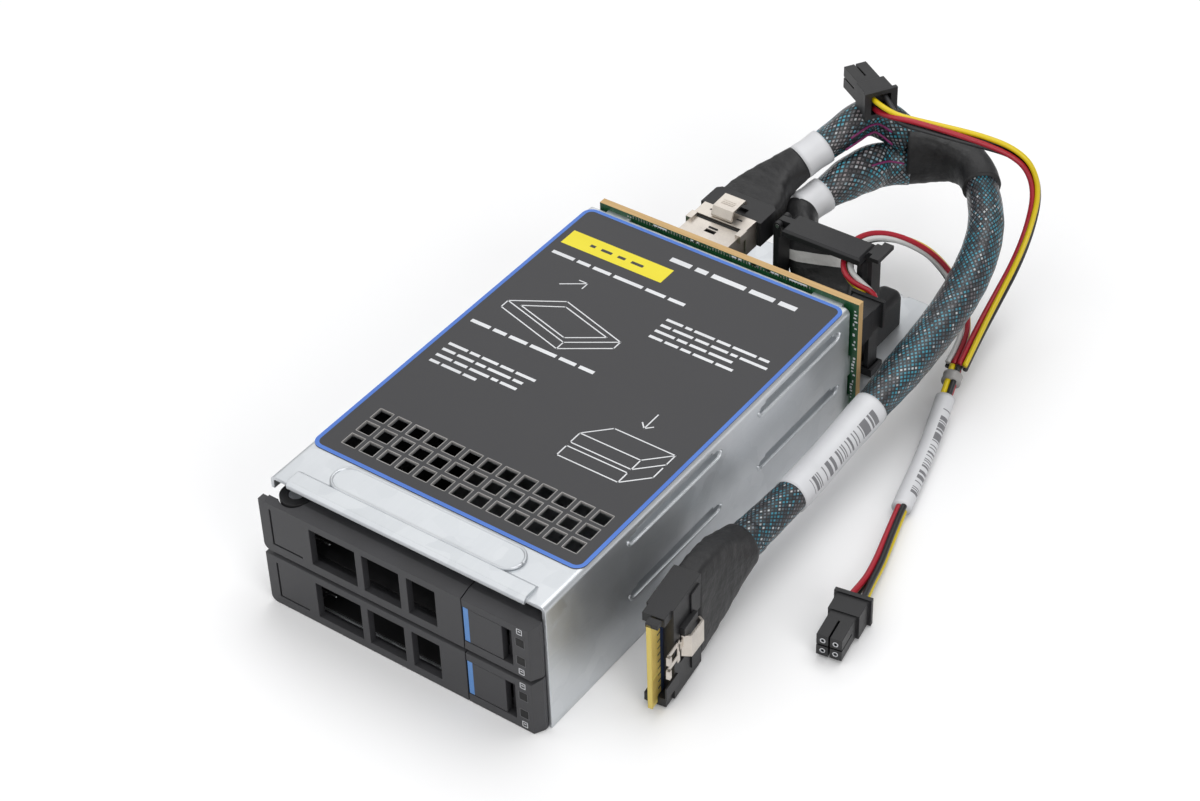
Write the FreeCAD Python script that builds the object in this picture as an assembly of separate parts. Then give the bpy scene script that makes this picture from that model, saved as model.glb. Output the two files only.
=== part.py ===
import FreeCAD, Part
import math
import os

# Hot swap drive cage: a folded sheet cage with two stacked trays for 2.5 inch drives,
# a backplane board, a cable clamp behind it, and a data cable and a power cable.
# Millimetres. X to the right seen from the front, Y to the back, Z up.
# The origin is on the underside of the base plate, at the centre of the cage's footprint.

V = FreeCAD.Vector

# ---- driving dimensions: cage ---------------------------------------------------------
CAGE_DEPTH = 130.8
SHEET = 1.0
PLATE_TAIL = 55.6            # base plate length behind the cage
PLATE_NOTCH = 26.3           # centre of the small notch in its back edge
FOLD_RADIUS = 1.6            # outside radius of the cage's top folds
TAB_GAP = 0.1                # clearance round the wall tabs in the base plate
TAB_LENGTH = 8.0

LOCK_HOLE = (-30.0, 110.0)    # hole for the screw that locks the module in its chassis
LOCK_HOLE_RADIUS = 1.7

VENT_ROWS, VENT_COLUMNS = 3, 13
VENT_SIZE = 4.4
VENT_PITCH = 5.52
VENT_INSET = 6.7             # cage side to the first hole
VENT_FRONT = -47.0           # front edge of the first row

LABEL_THICK = 0.2
LABEL_SIDE_GAP = 0.5         # label edge to cage edge
LABEL_FRONT = 14.1           # cage front edge to label
LABEL_BACK = 0.8             # label to cage back edge
LABEL_CORNER = 3.0

LIP_LENGTH = 71.0
LIP_DEPTH = 5.0
LIP_RISE = 0.9
LIP_DROP = 1.1
LIP_OVERHANG = 0.7
EMBOSS_LENGTH = 56.0
EMBOSS_DEPTH = 8.4
EMBOSS_RISE = 0.5
EMBOSS_FRONT = 5.0           # cage front edge to the embossed panel

RIB_HEIGHT = 3.4
RIB_PUSH = 1.6               # how far a guide rib stands inside the wall
RIB_SLIT = 0.2               # the slit above a rib, where it leaves the wall
RIB_WALL = 0.7
RIB_SPANS = ((-33.2, 5.9), (22.7, 60.5))

# ---- driving dimensions: trays --------------------------------------------------------
TRAY_PITCH = 17.6
TRAY_LEVELS = ("lower", "upper")
RUN_GAP = 0.3                # running gap between things that slide
TRAY_SIDE_GAP = 0.5
TRAY_HEADROOM = 1.5          # upper tray's pitch to the roof
DRIVE_WIDTH = 69.85
DRIVE_GAP = 0.15
RAIL_THICK = 4.425
DRIVE_HOLE_UP = 3.0          # drive's side screw holes above its underside
DRIVE_HOLE_SPACING = 76.6
DRIVE_HOLE_RADIUS = 1.6
TRAY_FLOOR = 1.2
RAIL_HEIGHT = 13.6
TRAY_WALL = 1.5
TRAY_FRONT = 5.4             # cage front edge to the tray's front wall
TRAY_BACK = 5.4              # tray end to cage back edge

# ---- driving dimensions: front of a tray ----------------------------------------------
BEZEL_LIFT = 0.15            # underside of the lower bezel above the table
BEZEL_FACE = 16.1            # height of the front face
BEZEL_TOP = 17.2             # height at the back of the sloping top
BEZEL_DEPTH = 3.7            # face to the back of the underside, in front of the cage
BEZEL_GAP = 0.3              # bezel's back to the cage's front edge
BEZEL_PROUD = 1.2            # lever past the cage's left side
BEZEL_SHORT = 0.8            # block short of the cage's right side
BEZEL_BEVEL = 1.5
SPLIT_INSET = 21.5           # cage's right side to the joint line of lever and block
SPLIT_GAP = 0.3
FACE_THICK = 2.0
LEVER_WINDOWS = ((14.4, 14.1), (30.6, 11.2), (44.1, 8.5))   # cage's left side to the hole, width
WINDOW_LOW = 2.5
WINDOW_HIGH = 13.9
GROOVE_INSET, GROOVE_WIDTH, GROOVE_DEPTH = 2.2, 0.6, 0.5
PIVOT_INSET = 6.4            # cage's left side to the pivot axis
PIVOT_BACK = 1.6             # pivot axis behind the cage's front edge
PIVOT_DISC = 4.2
PIVOT_PIN = 1.2
PIN_GAP = 0.05
KNUCKLE = 3.2
NOTCH_DEPTH = 8.2            # relief for the lever's tail in the wall and plate

BUTTON_GAP = 0.3             # joint line to the button
BUTTON_WIDTH = 11.2
STRIPE_WIDTH = 1.5
BUTTON_TRAVEL = 2.5
BUTTON_LOW, BUTTON_HIGH = 2.7, 13.7
POCKET_DEPTH = 2.6
STEM_WIDTH, STEM_HEIGHT = 4.0, 5.0
LENS_INSET, LENS_WIDTH, LENS_HEIGHT = 4.8, 2.0, 2.4
LENS_CENTRES = (5.2, 11.1)   # above the bezel's underside
PIPE = 1.5
PIPE_LEVELS = (8.5, 11.1)

# ---- driving dimensions: board and what is on it --------------------------------------
BOARD_THICK = 2.1
BOARD_SHORT = 2.8            # board short of the cage's left side
BOARD_PROUD = 2.0            # board past the cage's right side
BOARD_RISE = 1.5             # board's top edge above the roof
BOARD_STANDOFF = 1.1         # cage back edge to board
SCREW_RADIUS = 1.25
SCREW_HEAD = 2.6
SCREW_INSET = 4.8
SCREW_HEIGHTS = (7.0, 20.0)
DRIVE_SOCKET = (42.6, 8.4, 4.8)
DRIVE_SOCKET_X = -4.0
DATA_PLUGS = {"left": (-6.5, 36.6), "right": (16.8, 17.5)}
DATA_SOCKET = (15.6, 8.0, 7.0)
PLUG_WIDTH, PLUG_HEIGHT, PLUG_LENGTH = 19.0, 7.6, 8.6
COVER_WIDTH, COVER_LENGTH = 15.0, 5.2
METAL = 0.5
LATCH_WIDTH = 6.4
POWER_PITCH = 3.0
POWER_SILO = 6.6             # across the four silos
POWER_HOOD = (8.2, 7.4)      # width and height of the hood round the wires
POWER_FLANGE = (9.8, 8.4)    # the same at its back edge
FLANGE_LENGTH = 1.2
POWER_LENGTHS = {"lead": (9.0, 7.0), "spare": (9.0, 7.0), "board": (5.1, 5.0)}   # silo, hood
POWER_WALL = 0.8
POWER_X, POWER_Z = 38.6, 29.6

# ---- driving dimensions: cable clamp ---------------------------------------------------
CLAMP_LEFT, CLAMP_RIGHT = 5.2, 32.9
POST_SETBACK = 19.6          # cage back edge to the posts
POST_DEPTH = 5.6
STRAP_FORWARD, STRAP_BEHIND = 1.8, 1.0     # strap past the posts
CLAMP_TOP = 40.3
STRAP_THICK = 2.2
POST_THICK = 1.7
CLAMP_FOOT = 2.4
CLAMP_STEP = 4.0             # foot past the right post, round the latch
CLAMP_PIN = 0.6
LATCH_THICK = 1.2
LATCH_TAB = 2.8
BLOCK_SPAN = (24.0, 31.5)
BLOCK_SETBACK = 1.4          # posts to the block
BLOCK_LENGTH, BLOCK_TOP = 19.0, 12.0

# ---- driving dimensions: cables --------------------------------------------------------
TRUNK_RADIUS = 4.8
BRANCH_RADIUS = 4.4
WIRES_RADIUS = 1.8
LEG_RADIUS = 1.5             # each leg of the power cable after it divides
SLEEVE_GAP = 0.05
SLEEVE_THICK = 0.35
TAPE_LENGTH = 8.0
BOOT_LAP = 2.5               # how far a branch enters its boot
HOST_AT = V(57.3, -48.5, 15.2)
HOST_TURN = 7.5
HOST_HEIGHT, HOST_THICK = 29.0, 7.0
CARD_DEPTH, CARD_THICK = 16.0, 1.2
CARD_GAP = 0.05
LEAD_AT = V(83.0, -10.5, 4.4)
LEAD_TURN = 9.4
SPARE_AT = V(-0.9, 134.9, 57.0)
SPARE_TURN = -122.0

TRUNK_POINTS = [
    V(52.2, 0.6, 15.2), V(52.7, 14.0, 14.9), V(52.7, 30.0, 15.0), V(52.7, 46.0, 16.4),
    V(53.6, 62.0, 19.0), V(54.1, 78.0, 21.6), V(54.2, 92.0, 24.0), V(53.4, 105.0, 27.2),
    V(50.6, 118.0, 30.8), V(45.4, 129.0, 33.6), V(38.8, 136.7, 35.5)]
LEFT_BRANCH_POINTS = [
    V(17.4, 136.0, 41.6), V(10.6, 135.0, 46.0), V(5.0, 131.4, 48.4), V(1.8, 121.4, 44.9),
    V(-3.9, 108.6, 40.2)]
RIGHT_BRANCH_POINTS = [
    V(17.4, 136.4, 32.7), V(11.2, 133.4, 33.2), V(8.2, 125.6, 34.4), V(5.7, 116.5, 33.8),
    V(0.7, 102.3, 30.0)]
LEAD_WIRE_POINTS = [
    V(80.7, 3.5, 4.4), V(78.3, 18.0, 3.3), V(73.6, 33.6, 2.6), V(69.4, 50.0, 2.4),
    V(65.8, 64.6, 2.9), V(61.6, 79.4, 4.6), V(57.6, 93.6, 8.0)]
SPARE_WIRE_POINTS = [
    V(59.1, 94.4, 8.3), V(56.9, 106.0, 10.5), V(55.4, 118.6, 14.0), V(55.2, 129.2, 19.5),
    V(55.0, 136.6, 27.0), V(54.4, 140.4, 36.0), V(51.8, 139.6, 44.0), V(47.0, 137.7, 48.0),
    V(40.4, 134.4, 50.5), V(32.2, 129.8, 53.0), V(26.5, 126.2, 55.0), V(21.6, 123.4, 56.5),
    V(16.8, 123.8, 57.0), V(11.1, 127.4, 57.0)]
BOARD_WIRE_POINTS = [
    V(55.9, 93.9, 8.0), V(54.2, 103.6, 8.2), V(50.0, 112.0, 10.2), V(44.0, 116.4, 16.0),
    V(37.4, 114.6, 24.0), V(32.4, 108.8, 30.4), V(27.4, 102.6, 34.0), V(25.2, 95.4, 35.6),
    V(26.4, 88.2, 35.6), V(29.2, 83.3, 34.4), V(33.2, 83.2, 32.0), V(36.8, 82.9, 30.4),
    V(38.5, 80.6, 29.8), V(38.6, 77.5, 29.6)]
SPLIT_MIDDLE = V(28.4, 140.6, 36.9)
SPLIT_HEADING = V(-1.0, 0.0, 0.03)

# ---- derived places -------------------------------------------------------------------
RAIL_IN = DRIVE_WIDTH / 2 + DRIVE_GAP
RAIL_OUT = RAIL_IN + RAIL_THICK
INSIDE = RAIL_OUT + TRAY_SIDE_GAP
HALF_WIDTH = INSIDE + SHEET
FRONT = -CAGE_DEPTH / 2
BACK = CAGE_DEPTH / 2
PLATE_BACK = BACK + PLATE_TAIL
TRAY_BASE = SHEET + RUN_GAP                       # underside of the lower tray
ROOF = TRAY_BASE + len(TRAY_LEVELS) * TRAY_PITCH + TRAY_HEADROOM
CAGE_HEIGHT = ROOF + SHEET
RIB_TOP = TRAY_BASE + TRAY_PITCH - RUN_GAP        # the upper tray rides on this
DRIVE_BASE = TRAY_FLOOR + RUN_GAP                 # drive above the tray's underside
TRAY_START = FRONT + TRAY_FRONT
TRAY_END = BACK - TRAY_BACK
FACE_Y = FRONT - BEZEL_GAP - BEZEL_DEPTH
BEZEL_BACK = FRONT - BEZEL_GAP
BEZEL_LEFT = -HALF_WIDTH - BEZEL_PROUD
BEZEL_RIGHT = HALF_WIDTH - BEZEL_SHORT
SPLIT_X = HALF_WIDTH - SPLIT_INSET
PIVOT_X = PIVOT_INSET - HALF_WIDTH
PIVOT_Y = FRONT + PIVOT_BACK
BUTTON_LEFT = SPLIT_X + BUTTON_GAP
LENS_X = HALF_WIDTH - LENS_INSET
SCREW_X = HALF_WIDTH - SCREW_INSET
BOARD_LEFT = BOARD_SHORT - HALF_WIDTH
BOARD_RIGHT = HALF_WIDTH + BOARD_PROUD
BOARD_TOP = CAGE_HEIGHT + BOARD_RISE
BOARD_FRONT = BACK + BOARD_STANDOFF
BOARD_BACK = BOARD_FRONT + BOARD_THICK
BUTTON_FACE = FACE_Y + 0.1
POCKET_BACK = FACE_Y + POCKET_DEPTH
DRIVE_BACK = BOARD_FRONT - 4.5                    # back of a seated drive
POST_FRONT = BACK + POST_SETBACK
POST_BACK = POST_FRONT + POST_DEPTH
CLAMP_FRONT = POST_FRONT - STRAP_FORWARD
CLAMP_BACK = POST_BACK + STRAP_BEHIND


# ---- small helpers ----------------------------------------------------------------------
def box(x0, x1, y0, y1, z0, z1):
    return Part.makeBox(x1 - x0, y1 - y0, z1 - z0, V(x0, y0, z0))


def rod(start, direction, radius, length):
    return Part.makeCylinder(radius, length, start, direction)


def join(pieces):
    whole = pieces[0].multiFuse(pieces[1:]) if len(pieces) > 1 else pieces[0]
    return whole.removeSplitter()


def largest(shape):
    return max(shape.Solids, key=lambda solid: solid.Volume)


def polygon(points):
    return Part.Face(Part.makePolygon(points + points[:1]))


def side_profile(points, x0, x1):
    """A profile drawn in Y and Z, extruded along X from x0 to x1."""
    return polygon([V(x0, y, z) for y, z in points]).extrude(V(x1 - x0, 0, 0))


def plan_profile(points, z0, z1):
    """A profile drawn in X and Y, extruded along Z from z0 to z1."""
    return polygon([V(x, y, z0) for x, y in points]).extrude(V(0, 0, z1 - z0))


def slot_wire(centre, along, across, length, width):
    """A closed obround of two lines and two half circles, in the plane of the two directions."""
    radius = width / 2
    run = along * (length / 2 - radius)
    side = across * radius
    tip = along * radius
    a, b, c, d = centre - run - side, centre + run - side, centre + run + side, centre - run + side
    return Part.Wire([
        Part.LineSegment(a, b).toShape(), Part.Arc(b, centre + run + tip, c).toShape(),
        Part.LineSegment(c, d).toShape(), Part.Arc(d, centre - run - tip, a).toShape()])


def slot_prism(centre, along, across, length, width, depth):
    return Part.Face(slot_wire(centre, along, across, length, width)).extrude(depth)


def rounded_edges(shape, radius, chosen):
    edges = [e for e in shape.Edges if chosen(e)]
    return shape.makeFillet(radius, edges)


def route(points, name):
    """Straight runs joined by tangent arcs; each arc is as large as its two runs allow."""
    edges, start, radii = [], points[0], []
    for before, corner, after in zip(points, points[1:], points[2:]):
        back, ahead = before - corner, after - corner
        shorter = min(back.Length, ahead.Length)
        back.normalize()
        ahead.normalize()
        half_turn = (math.pi - back.getAngle(ahead)) / 2
        reach = 0.45 * shorter
        radius = reach / math.tan(half_turn)
        inward = back + ahead
        inward.normalize()
        middle = corner + inward * (radius / math.cos(half_turn) - radius)
        first, last = corner + back * reach, corner + ahead * reach
        edges.append(Part.LineSegment(start, first).toShape())
        edges.append(Part.Arc(first, middle, last).toShape())
        start = last
        radii.append(radius)
    edges.append(Part.LineSegment(start, points[-1]).toShape())
    print(name, "bend radii", [round(r, 1) for r in radii])
    return edges


def tube(edges, radius):
    """A round solid swept along connected edges."""
    path = Part.Wire(edges)
    first = edges[0]
    start, heading = first.valueAt(first.FirstParameter), first.tangentAt(first.FirstParameter)
    ring = Part.Wire([Part.makeCircle(radius, start, heading)])
    return path.makePipeShell([ring], True, False)


def sleeve(edges, bore):
    """A thin sleeve round a cord of the stated radius, along part of its route."""
    outer = tube(edges, bore + SLEEVE_GAP + SLEEVE_THICK)
    return outer.cut(tube(edges, bore + SLEEVE_GAP))


def placed(shape, at, turn):
    moved = shape.copy()
    moved.Placement = FreeCAD.Placement(at, FreeCAD.Rotation(V(0, 0, 1), turn)).multiply(moved.Placement)
    return moved


# ---- cage -----------------------------------------------------------------------------
def guide_rib(level, span, side):
    """One lanced rib: the metal that is cut away, and the metal that is pushed inwards."""
    low = RIB_TOP - RIB_HEIGHT + level * TRAY_PITCH
    y0, y1 = span
    centre = V(side * HALF_WIDTH, (y0 + y1) / 2, low + RIB_HEIGHT / 2)
    along, up, inward = V(0, 1, 0), V(0, 0, 1), V(-side, 0, 0)
    length = y1 - y0
    thin = 2 * RIB_WALL
    hollow = slot_prism(centre, along, up, length - thin, RIB_HEIGHT - thin, inward * RIB_PUSH)
    pushed = slot_prism(centre, along, up, length, RIB_HEIGHT, inward * (RIB_PUSH + SHEET))
    x0, x1 = sorted((side * INSIDE, side * HALF_WIDTH))
    slit = box(x0, x1, y0 + RIB_HEIGHT, y1 - RIB_HEIGHT, low + RIB_HEIGHT - RIB_WALL, low + RIB_HEIGHT + RIB_SLIT)
    return pushed, hollow.fuse(slit)


def cage_lip():
    """The rolled bead along the front of the roof, of even sheet thickness."""
    top = CAGE_HEIGHT + LIP_RISE
    nose = FRONT - LIP_OVERHANG
    outer = [(FRONT + LIP_DEPTH, ROOF), (FRONT + LIP_DEPTH, CAGE_HEIGHT), (FRONT + LIP_DEPTH - 1.0, top),
             (nose + 0.9, top), (nose, top - 0.9), (nose, CAGE_HEIGHT - LIP_DROP),
             (nose + SHEET, CAGE_HEIGHT - LIP_DROP),
             (nose + SHEET, ROOF)]
    inner = [(FRONT + LIP_DEPTH - 0.8, ROOF - 0.1), (FRONT + LIP_DEPTH - 1.4, top - SHEET),
             (nose + SHEET + 0.3, top - SHEET), (nose + SHEET, ROOF - 0.1)]
    bead = side_profile(outer, -LIP_LENGTH / 2, LIP_LENGTH / 2)
    return bead, side_profile(inner, -LIP_LENGTH / 2, LIP_LENGTH / 2)


def cage_vents(z0, z1):
    holes = []
    for row in range(VENT_ROWS):
        for column in range(VENT_COLUMNS):
            x, y = VENT_INSET - HALF_WIDTH + column * VENT_PITCH, VENT_FRONT + row * VENT_PITCH
            holes.append(box(x, x + VENT_SIZE, y, y + VENT_SIZE, z0, z1))
    return Part.makeCompound(holes)


def wall_tabs(side, grow):
    """Three tabs that pass through the base plate; grown by the clearance, they are its slots."""
    x0 = side * (HALF_WIDTH - SHEET / 2) - SHEET / 2
    depth = CAGE_DEPTH / 3
    return [box(x0 - grow, x0 + SHEET + grow, y - TAB_LENGTH / 2 - grow, y + TAB_LENGTH / 2 + grow,
                TAB_GAP - 2 * grow, SHEET + grow) for y in (-depth, 0, depth)]


def tail_relief(z0, z1):
    """The space that a lever's tail swings through."""
    return box(-HALF_WIDTH - 1, PIVOT_X + 1.2, FRONT - 1, FRONT + NOTCH_DEPTH, z0, z1)


def board_lugs():
    """Ears bent in behind the walls and forward of the board, with a screw hole in each."""
    lugs = []
    for side in (-1, 1):
        for height in SCREW_HEIGHTS:
            low, high = height - 3.0, height + 3.0
            inner, outer = side * (SCREW_X - 3.2), side * HALF_WIDTH
            lug = box(min(inner, outer), max(inner, outer), BOARD_FRONT - SHEET, BOARD_FRONT, low, high)
            x0, x1 = sorted((side * INSIDE, outer))
            wall = box(x0, x1, BACK - SHEET, BOARD_FRONT, low, high)
            hole = rod(V(side * SCREW_X, BOARD_FRONT - 2, height), V(0, 1, 0), SCREW_RADIUS + TAB_GAP, 4)
            lugs.append(lug.fuse(wall).cut(hole))
    return lugs


def cage_shell():
    skin = box(-HALF_WIDTH, HALF_WIDTH, FRONT, BACK, SHEET, CAGE_HEIGHT)
    top_folds = lambda z: lambda e: abs(e.BoundBox.ZMin - z) < 0.01 and e.BoundBox.YLength > 50
    skin = rounded_edges(skin, FOLD_RADIUS, top_folds(CAGE_HEIGHT))
    hollow = box(-INSIDE, INSIDE, FRONT - 1, BACK + 1, SHEET - 1, ROOF)
    hollow = rounded_edges(hollow, FOLD_RADIUS - SHEET, top_folds(ROOF))
    shell = skin.cut(hollow)
    added, removed = [], [cage_vents(ROOF - 1, CAGE_HEIGHT + 1)]
    for side in (-1, 1):
        for level in range(len(TRAY_LEVELS)):
            for span in RIB_SPANS:
                pushed, hollow = guide_rib(level, span, side)
                added.append(pushed)
                removed.append(hollow)
        added += wall_tabs(side, 0)
    bead, bead_hollow = cage_lip()
    added.append(bead)
    removed.append(bead_hollow)
    emboss_y = FRONT + EMBOSS_FRONT + EMBOSS_DEPTH / 2
    x, y = V(1, 0, 0), V(0, 1, 0)
    emboss = slot_prism(V(0, emboss_y, ROOF), x, y, EMBOSS_LENGTH, EMBOSS_DEPTH, V(0, 0, SHEET + EMBOSS_RISE))
    added.append(emboss)
    removed.append(slot_prism(V(0, emboss_y, ROOF - 1), x, y, EMBOSS_LENGTH - 2 * SHEET,
                              EMBOSS_DEPTH - 2 * SHEET, V(0, 0, 1 + EMBOSS_RISE)))
    added += board_lugs()
    for x0, x1 in ((5.6 - HALF_WIDTH, 13.0 - HALF_WIDTH), (HALF_WIDTH - 11.6, HALF_WIDTH - 2.5)):
        added.append(box(x0, x1, BACK - 1, BOARD_FRONT, ROOF, CAGE_HEIGHT))
    for level in range(len(TRAY_LEVELS)):
        low = BEZEL_LIFT + level * TRAY_PITCH
        removed.append(tail_relief(low - RUN_GAP, low + BEZEL_TOP + RUN_GAP))
    return join([shell] + added).cut(Part.makeCompound(removed)).removeSplitter()


def base_plate():
    plate = box(-HALF_WIDTH, HALF_WIDTH, FRONT, PLATE_BACK, 0, SHEET)
    rear_corners = lambda e: e.BoundBox.ZLength > 0.5 and e.BoundBox.YMin > PLATE_BACK - 0.1
    plate = rounded_edges(plate, 2.0, rear_corners)
    cuts = wall_tabs(-1, TAB_GAP) + wall_tabs(1, TAB_GAP)
    cuts.append(tail_relief(-1, SHEET + 1))
    cuts.append(rod(V(PLATE_NOTCH, PLATE_BACK, -1), V(0, 0, 1), 1.0, SHEET + 2))
    cuts.append(rod(V(LOCK_HOLE[0], LOCK_HOLE[1], -1), V(0, 0, 1), LOCK_HOLE_RADIUS, SHEET + 2))
    return plate.cut(Part.makeCompound(cuts))


def label_film():
    y0, y1 = FRONT + LABEL_FRONT, BACK - LABEL_BACK
    x1 = HALF_WIDTH - LABEL_SIDE_GAP
    film = box(-x1, x1, y0, y1, CAGE_HEIGHT, CAGE_HEIGHT + LABEL_THICK)
    film = rounded_edges(film, LABEL_CORNER, lambda e: e.BoundBox.ZLength > LABEL_THICK / 2)
    return film.cut(cage_vents(CAGE_HEIGHT - 1, CAGE_HEIGHT + 1))


# ---- trays ----------------------------------------------------------------------------
def tray_low(level):
    return TRAY_BASE + level * TRAY_PITCH


def bezel_low(level):
    return BEZEL_LIFT + level * TRAY_PITCH


def pivot_ear(z0, z1):
    """A round ear round the lever's pivot, carried by the tray's front wall."""
    disc = rod(V(PIVOT_X, PIVOT_Y, z0), V(0, 0, 1), PIVOT_DISC, z1 - z0)
    arm = box(PIVOT_X - PIVOT_DISC, PIVOT_X + PIVOT_DISC, PIVOT_Y, TRAY_START + TRAY_WALL, z0, z1)
    hole = rod(V(PIVOT_X, PIVOT_Y, z0 - 1), V(0, 0, 1), PIVOT_PIN + 0.02, z1 - z0 + 2)
    return disc.fuse(arm).cut(hole)


def tray_frame(level):
    z, low = tray_low(level), bezel_low(level)
    top = z + RAIL_HEIGHT
    ledge = RAIL_IN - 5.0
    solids = [box(-RAIL_OUT, RAIL_OUT, TRAY_START, TRAY_START + 15.0, z, z + TRAY_FLOOR),
              box(-RAIL_OUT, RAIL_OUT, TRAY_END - 9.0, TRAY_END, z, z + TRAY_FLOOR),
              box(-RAIL_OUT, RAIL_OUT, TRAY_START, TRAY_START + TRAY_WALL, z, top)]
    removed = []
    for side in (-1, 1):
        rail_x = sorted((side * RAIL_IN, side * RAIL_OUT))
        ledge_x = sorted((side * ledge, side * RAIL_OUT))
        tail = side * RAIL_OUT
        solids.append(box(rail_x[0], rail_x[1], TRAY_START, TRAY_END, z, top))
        solids.append(box(ledge_x[0], ledge_x[1], TRAY_START, TRAY_END, z, z + TRAY_FLOOR))
        lead_in = [(tail, TRAY_END - 6), (tail, TRAY_END + 1), (tail - side * 2, TRAY_END + 1),
                   (tail - side * 1.6, TRAY_END)]
        removed.append(plan_profile(lead_in, z - 1, top + 1))
        for back in (14.0, 14.0 + DRIVE_HOLE_SPACING):
            at = V(side * (RAIL_IN - 1), DRIVE_BACK - back, z + DRIVE_BASE + DRIVE_HOLE_UP)
            removed.append(rod(at, V(side, 0, 0), DRIVE_HOLE_RADIUS, RAIL_OUT - RAIL_IN + 2))
    slots = 9
    for i in range(slots):
        x = (i - (slots - 1) / 2) * 6.6
        removed.append(box(x - 2.1, x + 2.1, TRAY_START - 1, TRAY_START + TRAY_WALL + 1,
                           z + TRAY_FLOOR + 2.0, top - 2.4))
    half = PIPE / 2 + RUN_GAP
    removed.append(box(RAIL_IN - 1, LENS_X + half, TRAY_START - 1, TRAY_END + 1,
                       low + PIPE_LEVELS[0] - half, low + PIPE_LEVELS[1] + half))
    ear_low = low + BEZEL_TOP - 1.4
    solids.append(box(PIVOT_X - PIVOT_DISC, PIVOT_X + PIVOT_DISC, TRAY_START, TRAY_START + TRAY_WALL,
                      z, low + BEZEL_TOP))
    frame = join(solids).cut(Part.makeCompound(removed))
    frame = join([frame, pivot_ear(z, z + 1.0), pivot_ear(ear_low, low + BEZEL_TOP)])
    return frame.cut(rod(V(PIVOT_X, PIVOT_Y, low + BEZEL_TOP - 0.7), V(0, 0, 1), 2.0, 1))


def bezel_profile(low, back, base):
    """Outline of a bezel from the side: face, sloping top, and an underside that steps over the plate."""
    return [(FACE_Y, low), (BEZEL_BACK, low), (BEZEL_BACK, base), (back, base), (back, low + BEZEL_TOP),
            (FACE_Y + 3.4, low + BEZEL_TOP), (FACE_Y, low + BEZEL_FACE)]


def bezel_block(level):
    z, low = tray_low(level), bezel_low(level)
    left = SPLIT_X + SPLIT_GAP / 2
    block = side_profile(bezel_profile(low, TRAY_START, z), left, BEZEL_RIGHT)
    corner = [(BEZEL_RIGHT - BEZEL_BEVEL, FACE_Y - 0.1), (BEZEL_RIGHT + 1, FACE_Y - 0.1),
              (BEZEL_RIGHT + 1, FACE_Y + 3), (BEZEL_RIGHT, FACE_Y + 2.6)]
    bevel = plan_profile(corner, low - 1, low + TRAY_PITCH)
    inboard = box(RAIL_OUT, BEZEL_RIGHT + 1, BEZEL_BACK, TRAY_START + 1, low, low + TRAY_PITCH)
    floor = POCKET_BACK + 1.0
    hollow = box(left + 1.2, RAIL_OUT - 1.2, floor, TRAY_START + 1, low + 2.4, low + BEZEL_TOP - 1.4)
    pocket = box(left - 1, BUTTON_LEFT + BUTTON_WIDTH + BUTTON_TRAVEL + 0.4, FACE_Y - 1, POCKET_BACK,
                 low + BUTTON_LOW - 0.1, low + BUTTON_HIGH + 0.1)
    stem_x, stem_z = stem_centre(level)
    half = STEM_WIDTH / 2 + RUN_GAP
    slot = box(stem_x - half, stem_x + half + BUTTON_TRAVEL, POCKET_BACK - 1, floor + 1,
               stem_z - STEM_HEIGHT / 2 - RUN_GAP, stem_z + STEM_HEIGHT / 2 + RUN_GAP)
    removed = [bevel, inboard, hollow, pocket, slot]
    for centre in LENS_CENTRES:
        across, rise = LENS_WIDTH / 2 + 0.1, LENS_HEIGHT / 2 + 0.1
        removed.append(box(LENS_X - across, LENS_X + across, FACE_Y - 1, floor + 1,
                           low + centre - rise, low + centre + rise))
    block = block.cut(Part.makeCompound(removed))
    seat_x = spring_end()
    seat = box(seat_x, seat_x + 0.8, floor, TRAY_START, low + 2.4, low + BEZEL_TOP - 1.4)
    return join([block, seat])


def stem_centre(level):
    return BUTTON_LEFT + STRIPE_WIDTH + 5.0, bezel_low(level) + (BUTTON_LOW + BUTTON_HIGH) / 2


def spring_end():
    return LENS_X - PIPE / 2 - RUN_GAP - 1.1


def release_button(level):
    low = bezel_low(level)
    stem_x, stem_z = stem_centre(level)
    plate = box(BUTTON_LEFT + STRIPE_WIDTH, BUTTON_LEFT + BUTTON_WIDTH, BUTTON_FACE, BUTTON_FACE + 1.9,
                low + BUTTON_LOW + 0.1, low + BUTTON_HIGH - 0.1)
    backing = box(BUTTON_LEFT, BUTTON_LEFT + STRIPE_WIDTH, BUTTON_FACE + 1.0, BUTTON_FACE + 1.9,
                  low + BUTTON_LOW + 0.1, low + BUTTON_HIGH - 0.1)
    floor = POCKET_BACK + 1.0
    stem = box(stem_x - STEM_WIDTH / 2, stem_x + STEM_WIDTH / 2, BUTTON_FACE + 1.5, floor + 3.6,
               stem_z - STEM_HEIGHT / 2, stem_z + STEM_HEIGHT / 2)
    keeper = box(stem_x - STEM_WIDTH / 2, stem_x + STEM_WIDTH / 2, floor + RUN_GAP, floor + 1.2,
                 stem_z - STEM_HEIGHT / 2 - 1.2, stem_z + STEM_HEIGHT / 2 + 1.2)
    return join([plate, backing, stem, keeper])


def button_stripe(level):
    low = bezel_low(level)
    return box(BUTTON_LEFT, BUTTON_LEFT + STRIPE_WIDTH, BUTTON_FACE, BUTTON_FACE + 1.0,
               low + BUTTON_LOW + 0.1, low + BUTTON_HIGH - 0.1)


def button_spring(level):
    stem_x, stem_z = stem_centre(level)
    start = V(stem_x + STEM_WIDTH / 2, POCKET_BACK + 1.0 + 2.2, stem_z)
    length = spring_end() - start.x
    return rod(start, V(1, 0, 0), 1.3, length).cut(rod(start, V(1, 0, 0), 0.9, length))


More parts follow.
